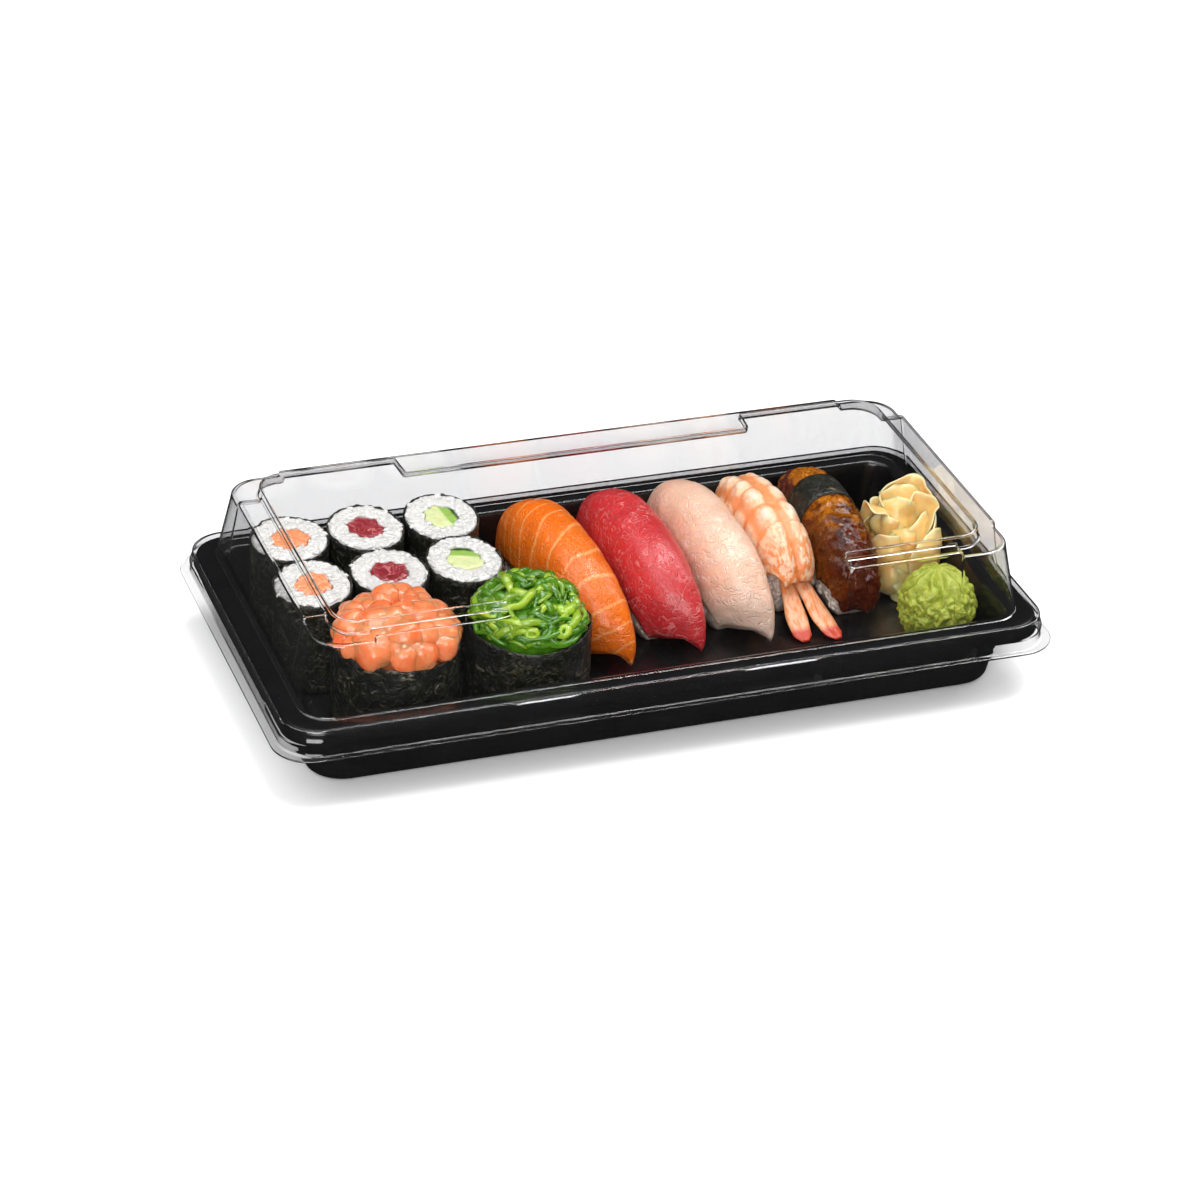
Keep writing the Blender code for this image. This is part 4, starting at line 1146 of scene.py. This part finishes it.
class Loaf:
    # a long rounded mound; larger copies nest round smaller ones

    def __init__(self, row):
        self.x, self.y, turn, self.back, self.front, self.halfWidth, self.height = row[:7]
        self.ahead, self.behind, self.skew = row[7:]
        self.turn = math.radians(turn)
        self.span = nigiri["span"]

    def point(self, along, across, grow=0.0, ahead=0.0, behind=0.0):
        k = smoothStep(along, -0.55, 0.55)              # 0 at the back and 1 at the front
        reach = (self.back + behind) * (1 - k) + (self.front + ahead) * k
        rise = max(0.0, math.cos(along)) ** (0.50 + 0.25 * k)
        width = max(0.0, math.cos(along)) ** (0.42 - 0.14 * k)
        out = (reach + grow) * math.sin(along)
        side = (self.halfWidth + grow) * width * math.copysign(abs(math.sin(across)) ** 0.85, across)
        up = (self.height + grow) * rise * max(0.0, math.cos(across)) ** 0.60
        x = self.x + out * math.sin(self.turn) + side * math.cos(self.turn)
        y = self.y - out * math.cos(self.turn) + side * math.sin(self.turn)
        return Vector((x, y, foodZ + up))

    def top(self, along, across, share, clear=0.0, relief=None):
        # a place in the slice: share 0 is its underside and 1 its top
        n = nigiri
        lean = math.sin(math.radians(across))
        t = (along - self.span[0]) / (self.span[1] - self.span[0])
        taper = 0.45 + 0.55 * (1 - min(1.0, abs(2 * t - 1)) ** 4)
        thick = n["topping"] * (n["edgeShare"] + (1 - n["edgeShare"]) * (1 - lean * lean)) * taper
        if relief:
            thick += relief(t, across / n["drape"])
        return self.point(math.radians(along), math.radians(across), n["under"] + share * thick + clear,
                          self.ahead + self.skew * lean, self.behind - 0.3 * self.skew * lean)


def nigiriRice(kind, loaf, n):
    rings = []
    stations, around = 40, 40
    for i in range(stations):
        along = math.radians(-80 + 160 * i / (stations - 1))
        over = [loaf.point(along, math.radians(-84 + 168 * j / around), -0.0006) for j in range(around + 1)]
        over = [p + Vector((0, 0, 1)) * 0.0004 * ripple(p, 0.0022, 3.0, 2) for p in over]
        middle = (over[0] + over[-1]) / 2
        under = [middle + (p - middle) * 0.9 for p in (over[-1], over[0])]
        under = [(p.x, p.y, foodZ) for p in under]
        rings.append([tuple(p) for p in over] + under)
    verts, faces = lofted(rings)
    parts = [(verts, faces, np.zeros((len(verts), 3)))]
    rng = random.Random("rice" + kind)
    places = []
    for i in range(n["grains"]):
        along = math.radians(rng.uniform(-72, 72))
        across = math.radians(rng.choice((-1, 1)) * rng.uniform(50, 87))
        if rng.random() < 0.30:
            along = math.radians(rng.choice((-1, 1)) * rng.uniform(66, 78))
            across = math.radians(rng.uniform(-80, 80))
        p = loaf.point(along, across, -0.0003)
        q = loaf.point(along + 0.02, across, -0.0003) - p
        w = loaf.point(along, across + 0.02, -0.0003) - p
        normal = q.cross(w)
        normal = normal if normal.dot(p - Vector((loaf.x, loaf.y, foodZ))) > 0 else -normal
        number = rng.randrange(len(riceGrains))
        turn = frameOn(normal, rng.uniform(0, 6.3), rng.gauss(0, 0.15)) * rng.uniform(0.8, 1.0)
        places.append((number, turn, tuple(p), rng.random()))
    parts.append(scattered(riceGrains, places))
    verts, faces, lay = joined(parts)
    verts[:, 2] = np.maximum(verts[:, 2], foodZ)
    # the rice under the slices gets the painted warm glow of light through the fish
    thing = makeMesh("riceGrains_nigiri_" + kind, verts, faces, looks["paintedGlowRice"], lay)
    settle(thing, ["nigiri_" + kind + "_rice"])


def sliceMesh(loaf, n, stations=120, around=48, relief=None, taper=0.0):
    # over and under surfaces of the slice joined round its edge; lay keeps along, across and 1 on top
    verts, lay = [], []
    low, high = loaf.span
    for i in range(stations):
        along = low + (high - low) * i / (stations - 1)
        reach = n["drape"] * (1 - taper * smoothStep(i / (stations - 1), 0.76, 1.0))
        ring = [(reach * (2 * j / around - 1), 1.0) for j in range(around + 1)]
        ring += [(reach * (1 - 2 * j / 12), 0.0) for j in range(13)]
        for across, share in ring:
            verts.append(loaf.top(along, across, share, 0.0, relief if share else None))
            lay.append((i / (stations - 1), across / n["drape"], share))
    count = around + 1 + 13
    faces = bandFaces(stations, count)
    faces += [tuple(reversed(range(count))), tuple(range((stations - 1) * count, stations * count))]
    return [tuple(v) for v in verts], faces, lay


fish = {
    # dark and light flesh, colour of the thin lines (the salmon's fat lines, and pale curls painted on all
    # three as a painted sheen) and how plain the curls are
    "salmon": ((0.82, 0.140, 0.004), (0.91, 0.195, 0.008), (0.97, 0.40, 0.13), 0.30),
    "tuna": ((0.50, 0.018, 0.025), (0.66, 0.046, 0.050), (0.84, 0.27, 0.25), 0.60),
    "whitefish": ((0.82, 0.44, 0.29), (0.89, 0.62, 0.47), (0.96, 0.86, 0.77), 0.5),
    "tip": (0.80, 0.62, 0.52),                      # the white fish's darker tip
}


def fishLook(kind, low, high, line, lines):
    look = Look(kind + "Slice", 0.30, Subsurface_Weight=0.35, Subsurface_Scale=0.003,
                Coat_Weight=0.30, Coat_Roughness=0.07)
    look.mottle(low, high, 0.012, spread=0.3, fine=0.2)
    along, across = look.lay()[:2]
    if kind == "salmon":
        wave = look.times(look.noise(0.020, 1.0), 0.9)
        phase = look.plus(look.plus(look.times(along, 12.0), look.times(across, 1.3)), wave)
        phase = math2(look.tree, "FRACT", phase)
        stripe = look.ramp(look.size(look.minus(phase, 0.5)), 0.10, 0.01)
        look.over(look.times(stripe, 0.75), line)
    relief = look.group("moistRelief", {"Size": 0.004, "Curl Size": 0.0050, "Curls": -0.6})
    patchy = look.ramp(look.noise(0.0080, 1.0), 0.40, 0.60, 0.2, 1.0)
    # pale curls painted along the relief's lines, in patches: a painted sheen; lines sets how strong
    look.over(look.times(relief.outputs["Lines"], look.times(patchy, lines)), line)
    if kind == "whitefish":
        look.over(look.times(look.ramp(along, 0.80, 1.0), 0.6), fish["tip"])
    look.bump(relief.outputs["Height"], 0.0005, 0.8)
    return look.done()


def makeFishSlice(kind, loaf, n):
    verts, faces, lay = sliceMesh(loaf, n)
    thing = makeMesh(kind + "Slice", verts, faces, fishLook(kind, *fish[kind]), lay)
    swell(thing, lambda p, l: 0.00035 * ripple(p, 0.008, 1.0, 3) - 0.0003)
    settle(thing, ["nigiri_" + kind])


shrimp = {
    "segments": 6, "from": 0.06, "to": 0.74, "bump": 0.0011, "groove": 0.0011,
    "span": (-82, 68),
    "fins": ((0.0628, 0.0055, 0.0618, -0.0188, 0.0041), (0.0668, 0.0055, 0.0732, -0.0200, 0.0041)),
    "finThickness": 0.0036, "finRise": 0.0115,
    # share of a fin's length, and of its width and thickness there
    "finShape": ((0.0, 0.55, 1.0), (0.30, 0.72, 1.0), (0.62, 0.92, 0.65), (0.88, 0.80, 0.4),
                 (1.0, 0.35, 0.3)),
    "orange": (0.86, 0.27, 0.075), "flesh": (0.92, 0.52, 0.28), "pale": (0.94, 0.74, 0.56),
    # white is the pale flesh on the bumps' tops, brightened there as a painted highlight
    "white": (0.96, 0.82, 0.68), "tail": (0.60, 0.06, 0.025),
}


def shrimpMask(t, u):
    # 0 in the lines between segments and along the middle, 1 on the round bumps
    s = shrimp
    wide = abs(u)
    k = (t + 0.02 * wide * wide - s["from"]) / (s["to"] - s["from"]) * s["segments"]
    if k < 0 or k > s["segments"]:
        ring = 1.0 if k > 0 else 0.35 + 0.3 * math.cos(34 * t + 2 * u)
    else:
        ring = abs(math.sin(math.pi * k)) ** 0.55
    lobes = 0.62 + 0.38 * math.cos(2 * math.pi * (wide - 0.22) / 0.52)
    if k > s["segments"]:
        lobes = 0.75
    middle = 1 - math.exp(-(u / 0.075) ** 2)
    return max(0.0, min(1.0, ring * lobes * middle))


def shrimpShift(t, u):
    return (t + 0.012 * noise.noise(Vector((9 * t, 5 * u, 7.1))),
            u + 0.05 * noise.noise(Vector((9 * t, 4 * u, 1.3))))


def shrimpRelief(t, u):
    u += 0.05 * noise.noise(Vector((9 * t, 4 * u, 1.3)))
    t += 0.012 * noise.noise(Vector((9 * t, 5 * u, 7.1)))
    return shrimp["bump"] * (shrimpMask(t, u) - 0.55) - 0.4 * shrimp["groove"] * math.exp(-(u / 0.09) ** 2)


def finMesh(row, s):
    rootX, rootY, tipX, tipY, half = row
    length = math.hypot(tipX - rootX, tipY - rootY)
    ahead = ((tipX - rootX) / length, (tipY - rootY) / length)
    rings, lay = [], []
    steps, around = 24, 20
    keys = s["finShape"]
    for i in range(steps):
        t = i / (steps - 1)
        n = max(k for k in range(len(keys) - 1) if keys[k][0] <= t)
        mix = smoothStep(t, keys[n][0], keys[n + 1][0])
        wide = keys[n][1] + (keys[n + 1][1] - keys[n][1]) * mix
        thick = keys[n][2] + (keys[n + 1][2] - keys[n][2]) * mix
        height = s["finThickness"] * thick
        z = foodZ + height / 2 + s["finRise"] * (1 - t) ** 1.6
        ring = []
        for j in range(around):
            a = 2 * math.pi * j / around
            side = half * wide * math.cos(a)
            crease = 0.0004 * math.exp(-(math.cos(a) / 0.22) ** 2)
            x = rootX + (tipX - rootX) * t + ahead[1] * side
            y = rootY + (tipY - rootY) * t - ahead[0] * side
            ring.append((x, y, z + (height / 2 - (crease if math.sin(a) > 0 else 0)) * math.sin(a)))
            lay.append((t, math.cos(a), 2.0))
        rings.append(ring)
    verts, faces = lofted(rings)
    lay += [(0, 0, 2.0), (1, 0, 2.0)]
    return verts, faces, lay


def shrimpLook(s):
    look = Look("shrimpMeat", 0.30, Subsurface_Weight=0.35, Subsurface_Scale=0.0025,
                Coat_Weight=0.25, Coat_Roughness=0.15)
    look.mottle(s["flesh"], s["pale"], 0.0040, spread=0.25)
    along, mask = look.lay()[::2]
    body = look.ramp(mask, 2.0, 1.5)
    fin = look.minus(1.0, body)
    blotch = look.ramp(look.noise(0.0030, 3.0, 0.8), 0.50, 0.66)
    look.over(look.times(blotch, body, 0.45), s["orange"])
    look.over(look.times(look.ramp(mask, 0.62, 0.15), body, 0.85), s["orange"])
    # white on the tops of the round bumps: pale flesh and a painted highlight
    look.over(look.times(look.ramp(mask, 0.72, 0.98), body, 0.75), s["white"])
    streak = look.noise(0.0011, 2.0, 0.0, stretch=(1.0, 0.22, 0.5))
    look.over(look.times(fin, 0.55), s["orange"])
    look.over(look.times(fin, look.ramp(streak, 0.48, 0.60)), s["orange"])
    tail = look.ramp(look.plus(along, look.times(streak, 0.1)), 0.74, 0.95)
    look.over(look.times(tail, body, look.ramp(streak, 0.44, 0.56)), s["orange"])
    look.over(look.times(fin, look.ramp(along, 0.74, 0.86)), s["tail"])
    look.bump(look.group("moistRelief", {"Size": 0.0022, "Grain": 0.6}).outputs["Height"], 0.0004, 0.6)
    return look.done()


def makeShrimp(loaf, n, s):
    loaf.span = s["span"]
    verts, faces, lay = sliceMesh(loaf, n, stations=170, around=64, relief=shrimpRelief, taper=0.50)
    lay = [(t, u, shrimpMask(*shrimpShift(t, u)) if top else 0.5) for t, u, top in lay]
    parts = [(verts, faces, lay)] + [finMesh(row, s) for row in s["fins"]]
    verts, faces, lay = joined(parts)
    thing = makeMesh("shrimpMeat", verts, faces, shrimpLook(s), lay)

    def push(p, l):
        return 0.0003 * ripple(p, 0.0030, 2.0, 3) - 0.0003 if l[2] < 1.5 else 0.0001 * ripple(p, 0.002)

    swell(thing, push)
    settle(thing, ["nigiri_shrimp"])


eel = {
    "glaze": (0.140, 0.017, 0.001), "deep": (0.022, 0.002, 0.001), "amber": (0.25, 0.070, 0.010),
    "gold": (0.58, 0.180, 0.008), "skin": (0.130, 0.034, 0.024), "char": (0.015, 0.005, 0.003),
    "taper": 0.30,
    "bandSpan": (-10, 11), "bandReach": 88, "bandClear": 0.0017, "bandSheet": 0.0006,
}


def eelLook(e):
    look = Look("eelGlaze", 0.24, Specular_IOR_Level=0.10, Coat_Roughness=0.02)
    look.mottle(e["deep"], e["glaze"], 0.0050, spread=0.2, fine=0.3)
    along, across = look.lay()[:2]

    def window(value, low, high, edge):
        rise = look.ramp(value, low - edge, low + edge)
        return look.times(rise, look.ramp(value, high + edge, high - edge))

    wobble = look.minus(look.noise(0.0065, 3.0), 0.5)
    place = look.plus(along, look.times(wobble, 0.35))
    side = look.plus(across, look.times(wobble, 1.4))
    flank = look.times(look.ramp(side, -0.05, -0.95), look.ramp(place, 0.52, 0.60))
    look.over(look.times(flank, look.ramp(along, 1.0, 0.86), 0.8), e["amber"])
    look.over(look.times(window(side, -0.45, 0.30, 0.15), window(place, 0.54, 0.66, 0.05), 0.85), e["gold"])
    look.over(look.times(look.ramp(place, 0.50, 0.44), 0.9), e["skin"])
    look.over(look.times(window(side, -0.30, 0.45, 0.15), window(place, 0.24, 0.48, 0.06), 0.85), e["gold"])
    look.over(look.times(look.ramp(look.noise(0.0009, 1.0), 0.66, 0.74), 0.7), e["char"])
    wet = look.group("moistRelief", {"Size": 0.0016, "Grain": 0.15, "Curls": 0.8, "Curl Size": 0.0022})
    look.bump(wet.outputs["Height"], 0.0011, 1.0)
    look.vary("Coat Weight", wet.outputs["Lines"], 0.35, 1.0)
    return look.done()


def makeEel(loaf, n, e):
    verts, faces, lay = sliceMesh(loaf, n, stations=140, around=48, taper=e["taper"])
    thing = makeMesh("eelGlaze", verts, faces, eelLook(e), lay)

    def push(p, l):
        low, high = n["span"]
        along = low + (high - low) * l[0]
        held = smoothStep(abs(along - 0.5), 10.0, 13.0)
        return (0.0010 * ripple(p, 0.0038, 6.0, 3) * held - 0.0005) if l[2] > 0.5 else 0.0

    swell(thing, push)
    settle(thing, ["nigiri_eel"])
    lines, steps = 10, 72
    rings = []
    for j in range(steps + 1):
        angle = e["bandReach"] * (2 * j / steps - 1)
        held = max(-n["drape"], min(n["drape"], angle))
        below = max(0.0, abs(angle) - n["drape"]) / (e["bandReach"] - n["drape"])
        ring = []
        for clear, order in ((0.0004, 1), (0.0004 + e["bandSheet"], -1)):
            for i in range(lines)[::order]:
                along = e["bandSpan"][0] + (e["bandSpan"][1] - e["bandSpan"][0]) * i / (lines - 1)
                x, y, z = loaf.top(along, held, 1.0, clear)
                z += (foodZ + e["bandClear"] - z) * below
                wave = 0.00012 * noise.noise(Vector((x, y, z)) / 0.0025)
                ring.append((x + wave, y + wave, z + wave))
        rings.append(ring)
    verts, faces = lofted(rings)
    settle(makeMesh("noriBand_eel", verts, faces, looks["nori"]), ["nigiri_eel_nori"])


for kind in ("salmon", "tuna", "whitefish", "shrimp", "eel"):
    loaf = Loaf(nigiri[kind])
    nigiriRice(kind, loaf, nigiri)
    if kind == "shrimp":
        makeShrimp(loaf, nigiri, shrimp)
    elif kind == "eel":
        makeEel(loaf, nigiri, eel)
    else:
        makeFishSlice(kind, loaf, nigiri)
print("hand-pressed sushi made")


ginger = {
    "levels": ((0.0000, 0.1058, 0.0120, 0.0078, 0.0175), (0.0105, 0.1066, 0.0120, 0.0092, 0.0190),
               (0.0200, 0.1062, 0.0135, 0.0104, 0.0185), (0.0275, 0.1074, 0.0155, 0.0106, 0.0155)),
    # slices: place, way up, way the fold opens, half length, half width and fold radius
    "slices": (
        ((0.1112, 0.0190, 0.0235), (0.05, 0.10, 1.0), (-0.30, -0.90, 0.05), 0.0128, 0.0120, 0.0082),
        ((0.1015, 0.0175, 0.0225), (-0.80, 0.05, 0.60), (-0.10, -0.60, -0.60), 0.0098, 0.0090, 0.0100),
        ((0.1135, 0.0105, 0.0215), (0.40, -0.10, 0.90), (-0.80, -0.50, 0.20), 0.0125, 0.0085, 0.0055),
        ((0.1072, 0.0085, 0.0215), (0.20, 0.40, 0.90), (0.05, 0.90, -0.40), 0.0108, 0.0105, 0.0080),
        ((0.1010, 0.0085, 0.0150), (-0.15, 0.15, 1.0), (0.75, 0.65, 0.0), 0.0120, 0.0085, 0.0055),
        ((0.1132, 0.0035, 0.0150), (0.25, 0.30, 0.95), (-0.55, 0.80, -0.20), 0.0125, 0.0095, 0.0070),
        ((0.1045, 0.0010, 0.0105), (0.05, 0.35, 0.95), (0.20, 0.95, -0.10), 0.0115, 0.0090, 0.0065),
        ((0.1100, -0.0015, 0.0085), (0.15, 0.30, 0.95), (-0.30, 0.90, 0.0), 0.0105, 0.0100, 0.0085),
        ((0.1140, -0.0040, 0.0130), (0.25, 0.30, 0.92), (-0.60, 0.75, 0.0), 0.0125, 0.0110, 0.0095),
        ((0.1165, 0.0060, 0.0150), (0.30, 0.10, 0.95), (-0.90, 0.30, 0.0), 0.0130, 0.0110, 0.0100),
        ((0.1005, 0.0010, 0.0120), (-0.10, 0.25, 0.97), (0.50, 0.85, 0.0), 0.0120, 0.0095, 0.0080),
        ((0.1015, 0.0235, 0.0140), (-0.15, -0.15, 1.0), (0.50, -0.80, 0.0), 0.0125, 0.0100, 0.0080),
        ((0.1140, 0.0240, 0.0150), (0.15, -0.15, 1.0), (-0.50, -0.80, 0.0), 0.0130, 0.0100, 0.0080),
        ((0.1085, 0.0140, 0.0275), (-0.50, 0.30, 0.60), (0.50, 0.60, -0.50), 0.0085, 0.0080, 0.0060),
        ((0.1000, 0.0140, 0.0100), (-0.05, 0.10, 1.0), (0.90, 0.10, 0.0), 0.0105, 0.0110, 0.0090),
        ((0.1150, 0.0140, 0.0110), (0.10, 0.05, 1.0), (-0.90, 0.10, 0.0), 0.0110, 0.0110, 0.0090),
    ),
    "sheet": 0.0015, "wrinkle": 0.0012, "core": 0.0050,
    "low": (0.80, 0.46, 0.13), "high": (0.88, 0.62, 0.26),
    # deep is a painted shade for the slices' middles and the core inside the heap
    "rim": (0.93, 0.78, 0.47), "deep": (0.68, 0.34, 0.07),
}


def levelAt(levels, height):
    for low, high in zip(levels, levels[1:]):
        if height <= high[0]:
            k = (height - low[0]) / (high[0] - low[0])
            return [a + (b - a) * k for a, b in zip(low, high)]
    return levels[-1]


def heapSpot(levels, height, a, inset=0.0):
    cx, cy, halfX, halfY = levelAt(levels, height)[1:]
    return Vector((cx + max(0.0005, halfX - inset) * math.cos(a),
                   cy + max(0.0005, halfY - inset) * math.sin(a), foodZ + height))


def heapCore(levels, inset):
    top = levels[-1][0] - inset
    rows, sides = 15, 40
    rings = [[tuple(heapSpot(levels, top * j / (rows - 1), 2 * math.pi * i / sides, inset))
              for i in range(sides)] for j in range(rows)]
    verts, faces = lofted(rings)
    return [(x, y, max(foodZ, z)) for x, y, z in verts], faces, np.zeros((len(verts), 3))


def foldedSlice(g, row, rng):
    # one thin round slice folded over along its length, with wrinkles and a soft thin rim
    spot, up, opens, halfLength, halfWidth, radius = row
    spot = Vector(spot) + Vector((0, 0, foodZ))
    up = Vector(up).normalized()
    opens = Vector(opens)
    opens = (opens - up * opens.dot(up)).normalized()
    across = up.cross(opens)
    value = 20 * rng.random()
    lean, waves = rng.uniform(-0.25, 0.25), rng.uniform(2.0, 3.2)

    def place(r, a):
        wide = r * math.cos(a) * halfWidth * (1 + 0.08 * math.sin(3 * a + value))
        along = r * math.sin(a) * halfLength * (1 + 0.07 * math.sin(2 * a + 2 * value))
        bend = wide / radius
        depth = radius * (1 - math.cos(bend)) + 0.10 * along * along / halfLength
        wave = math.sin(waves * 1.6 * bend + value) * 0.5 + noise.noise(Vector((wide, along, value)) / 0.0045)
        wave *= g["wrinkle"]
        wave += 0.0011 * max(0.0, r - 0.55) ** 2 * 5 * math.sin(waves * 2 * a + value)
        inward = Vector(across) * math.sin(bend) - opens * math.cos(bend)
        spread = across * (radius * math.sin(bend))
        return spot + up * (along + lean * wide) + spread + opens * depth + inward * wave

    rings, around = 18, 72
    verts, lay = [], []
    for shell in (0.5, -0.5):
        for i in range(rings):
            r = 0.02 + 0.98 * (i / (rings - 1)) ** 0.9
            for j in range(around):
                a = 2 * math.pi * j / around
                p = place(r, a)
                normal = (place(r + 0.01, a) - p).cross(place(r, a + 0.01) - p)
                normal = normal.normalized() if normal.length > 0 else up
                p = p + normal * shell * g["sheet"] * (1 - 0.72 * r ** 3)
                verts.append(tuple(p))
                lay.append((r, value / 20, 0.5 + shell))
    size = rings * around
    faces = bandFaces(rings, around)
    faces = faces + [tuple(size + k for k in reversed(f)) for f in bandFaces(rings, around)]
    faces += [tuple(range(around)), tuple(size + k for k in reversed(range(around)))]
    last = (rings - 1) * around
    for j in range(around):
        k = (j + 1) % around
        faces.append((last + j, last + k, size + last + k, size + last + j))
    return verts, faces, lay


def makeGinger(g):
    rng = random.Random(5)
    verts, faces, lay = joined([heapCore(g["levels"], g["core"])]
                               + [foldedSlice(g, row, rng) for row in g["slices"]])
    low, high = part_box("ginger")
    soft = 0.0010
    for axis in range(3):
        v = verts[:, axis]
        v = np.where(v > high[axis] - soft, high[axis] - soft * np.exp(-(v - high[axis] + soft) / soft), v)
        if axis < 2:
            v = np.where(v < low[axis] + soft, low[axis] + soft * np.exp((v - low[axis] - soft) / soft), v)
        verts[:, axis] = v
    verts[:, 2] = np.maximum(verts[:, 2], foodZ)
    look = Look("pickledGinger", 0.30, Subsurface_Weight=0.5, Subsurface_Scale=0.004,
                Coat_Weight=0.15, Coat_Roughness=0.15)
    look.mottle(g["low"], g["high"], 0.0060, spread=0.25, fine=0.15)
    outward = look.lay()[0]
    look.over(look.times(look.ramp(outward, 0.80, 1.0), 0.6), g["rim"])
    # deeper colour towards each slice's middle and on the core inside the heap: painted shade
    look.over(look.times(look.ramp(outward, 0.45, 0.0), 0.5), g["deep"])
    look.bump(look.noise(0.0014, 2.0, stretch=(1.0, 1.0, 0.2)), 0.00016, 0.5)
    thing = makeMesh("gingerPetals", verts, faces, look.done(), lay)
    settle(thing, ["ginger"])


wasabi = {
    "spot": (0.1026, -0.0310), "radius": 0.0135, "height": 0.0296, "ribs": 11, "tip": (-0.10, 0.05, 1.0),
    "low": (0.22, 0.295, 0.018), "high": (0.56, 0.60, 0.085),
}


def makeWasabi(w):
    work = bmesh.new()
    bmesh.ops.create_icosphere(work, subdivisions=7, radius=1.0)
    cx, cy = w["spot"]
    half = w["height"] / 2
    tip = Vector(w["tip"]).normalized()
    side = tip.cross(Vector((0, 1, 0))).normalized()
    other = tip.cross(side)
    for v in work.verts:
        p = v.co.normalized()
        theta = math.acos(max(-1.0, min(1.0, p.dot(tip))))
        phi = math.atan2(p.dot(other), p.dot(side))
        warp = 0.45 * noise.noise(p * 1.8) * min(1.0, theta) + 0.18 * noise.noise(p * 5.0)
        rib = abs(math.sin(0.5 * w["ribs"] * phi + 5.5 * warp)) ** 0.55
        deep = smoothStep(theta, 0.03, 0.45)
        rough = 0.10 + 0.90 * smoothStep(theta, 0.7, 1.4)
        q = p * 2.2 + 0.35 * Vector((noise.noise(p * 3.0), noise.noise(p * 3.1 + Vector((5, 0, 0))), 0.0))
        cell = noise.voronoi(q, distance_metric="DISTANCE")[0]
        lump = min(1.0, (cell[1] - cell[0]) * 1.9) ** 0.6
        fine = noise.fractal(p * 8.0, 0.9, 2.1, 4)
        body = 0.17 * (rib - 1) * deep * (1 - 0.5 * rough)
        body += rough * (0.12 * (lump - 1) + 0.03 * fine) + 0.012 * fine
        r = w["radius"] * (1.0 + body)
        z = half + half * p.z * (1.0 + body)
        v.co = Vector((cx + p.x * r, cy + p.y * r, foodZ + max(0.0, z)))
    mesh = bpy.data.meshes.new("wasabiRosette")
    work.to_mesh(mesh)
    work.free()
    look = Look("wasabiPaste", 0.48, Subsurface_Weight=0.25, Subsurface_Scale=0.002, Coat_Weight=0.08)
    look.mottle(w["low"], w["high"], 0.0022, spread=0.25)
    look.bump(look.noise(0.0009, 3.0), 0.00035, 0.8)
    mesh.materials.append(look.done())
    mesh.polygons.foreach_set("use_smooth", [True] * len(mesh.polygons))
    thing = bpy.data.objects.new("wasabiRosette", mesh)
    bpy.context.scene.collection.objects.link(thing)
    settle(thing, ["wasabi"])


makeGinger(ginger)
makeWasabi(wasabi)
print("ginger and wasabi made")


low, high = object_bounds()
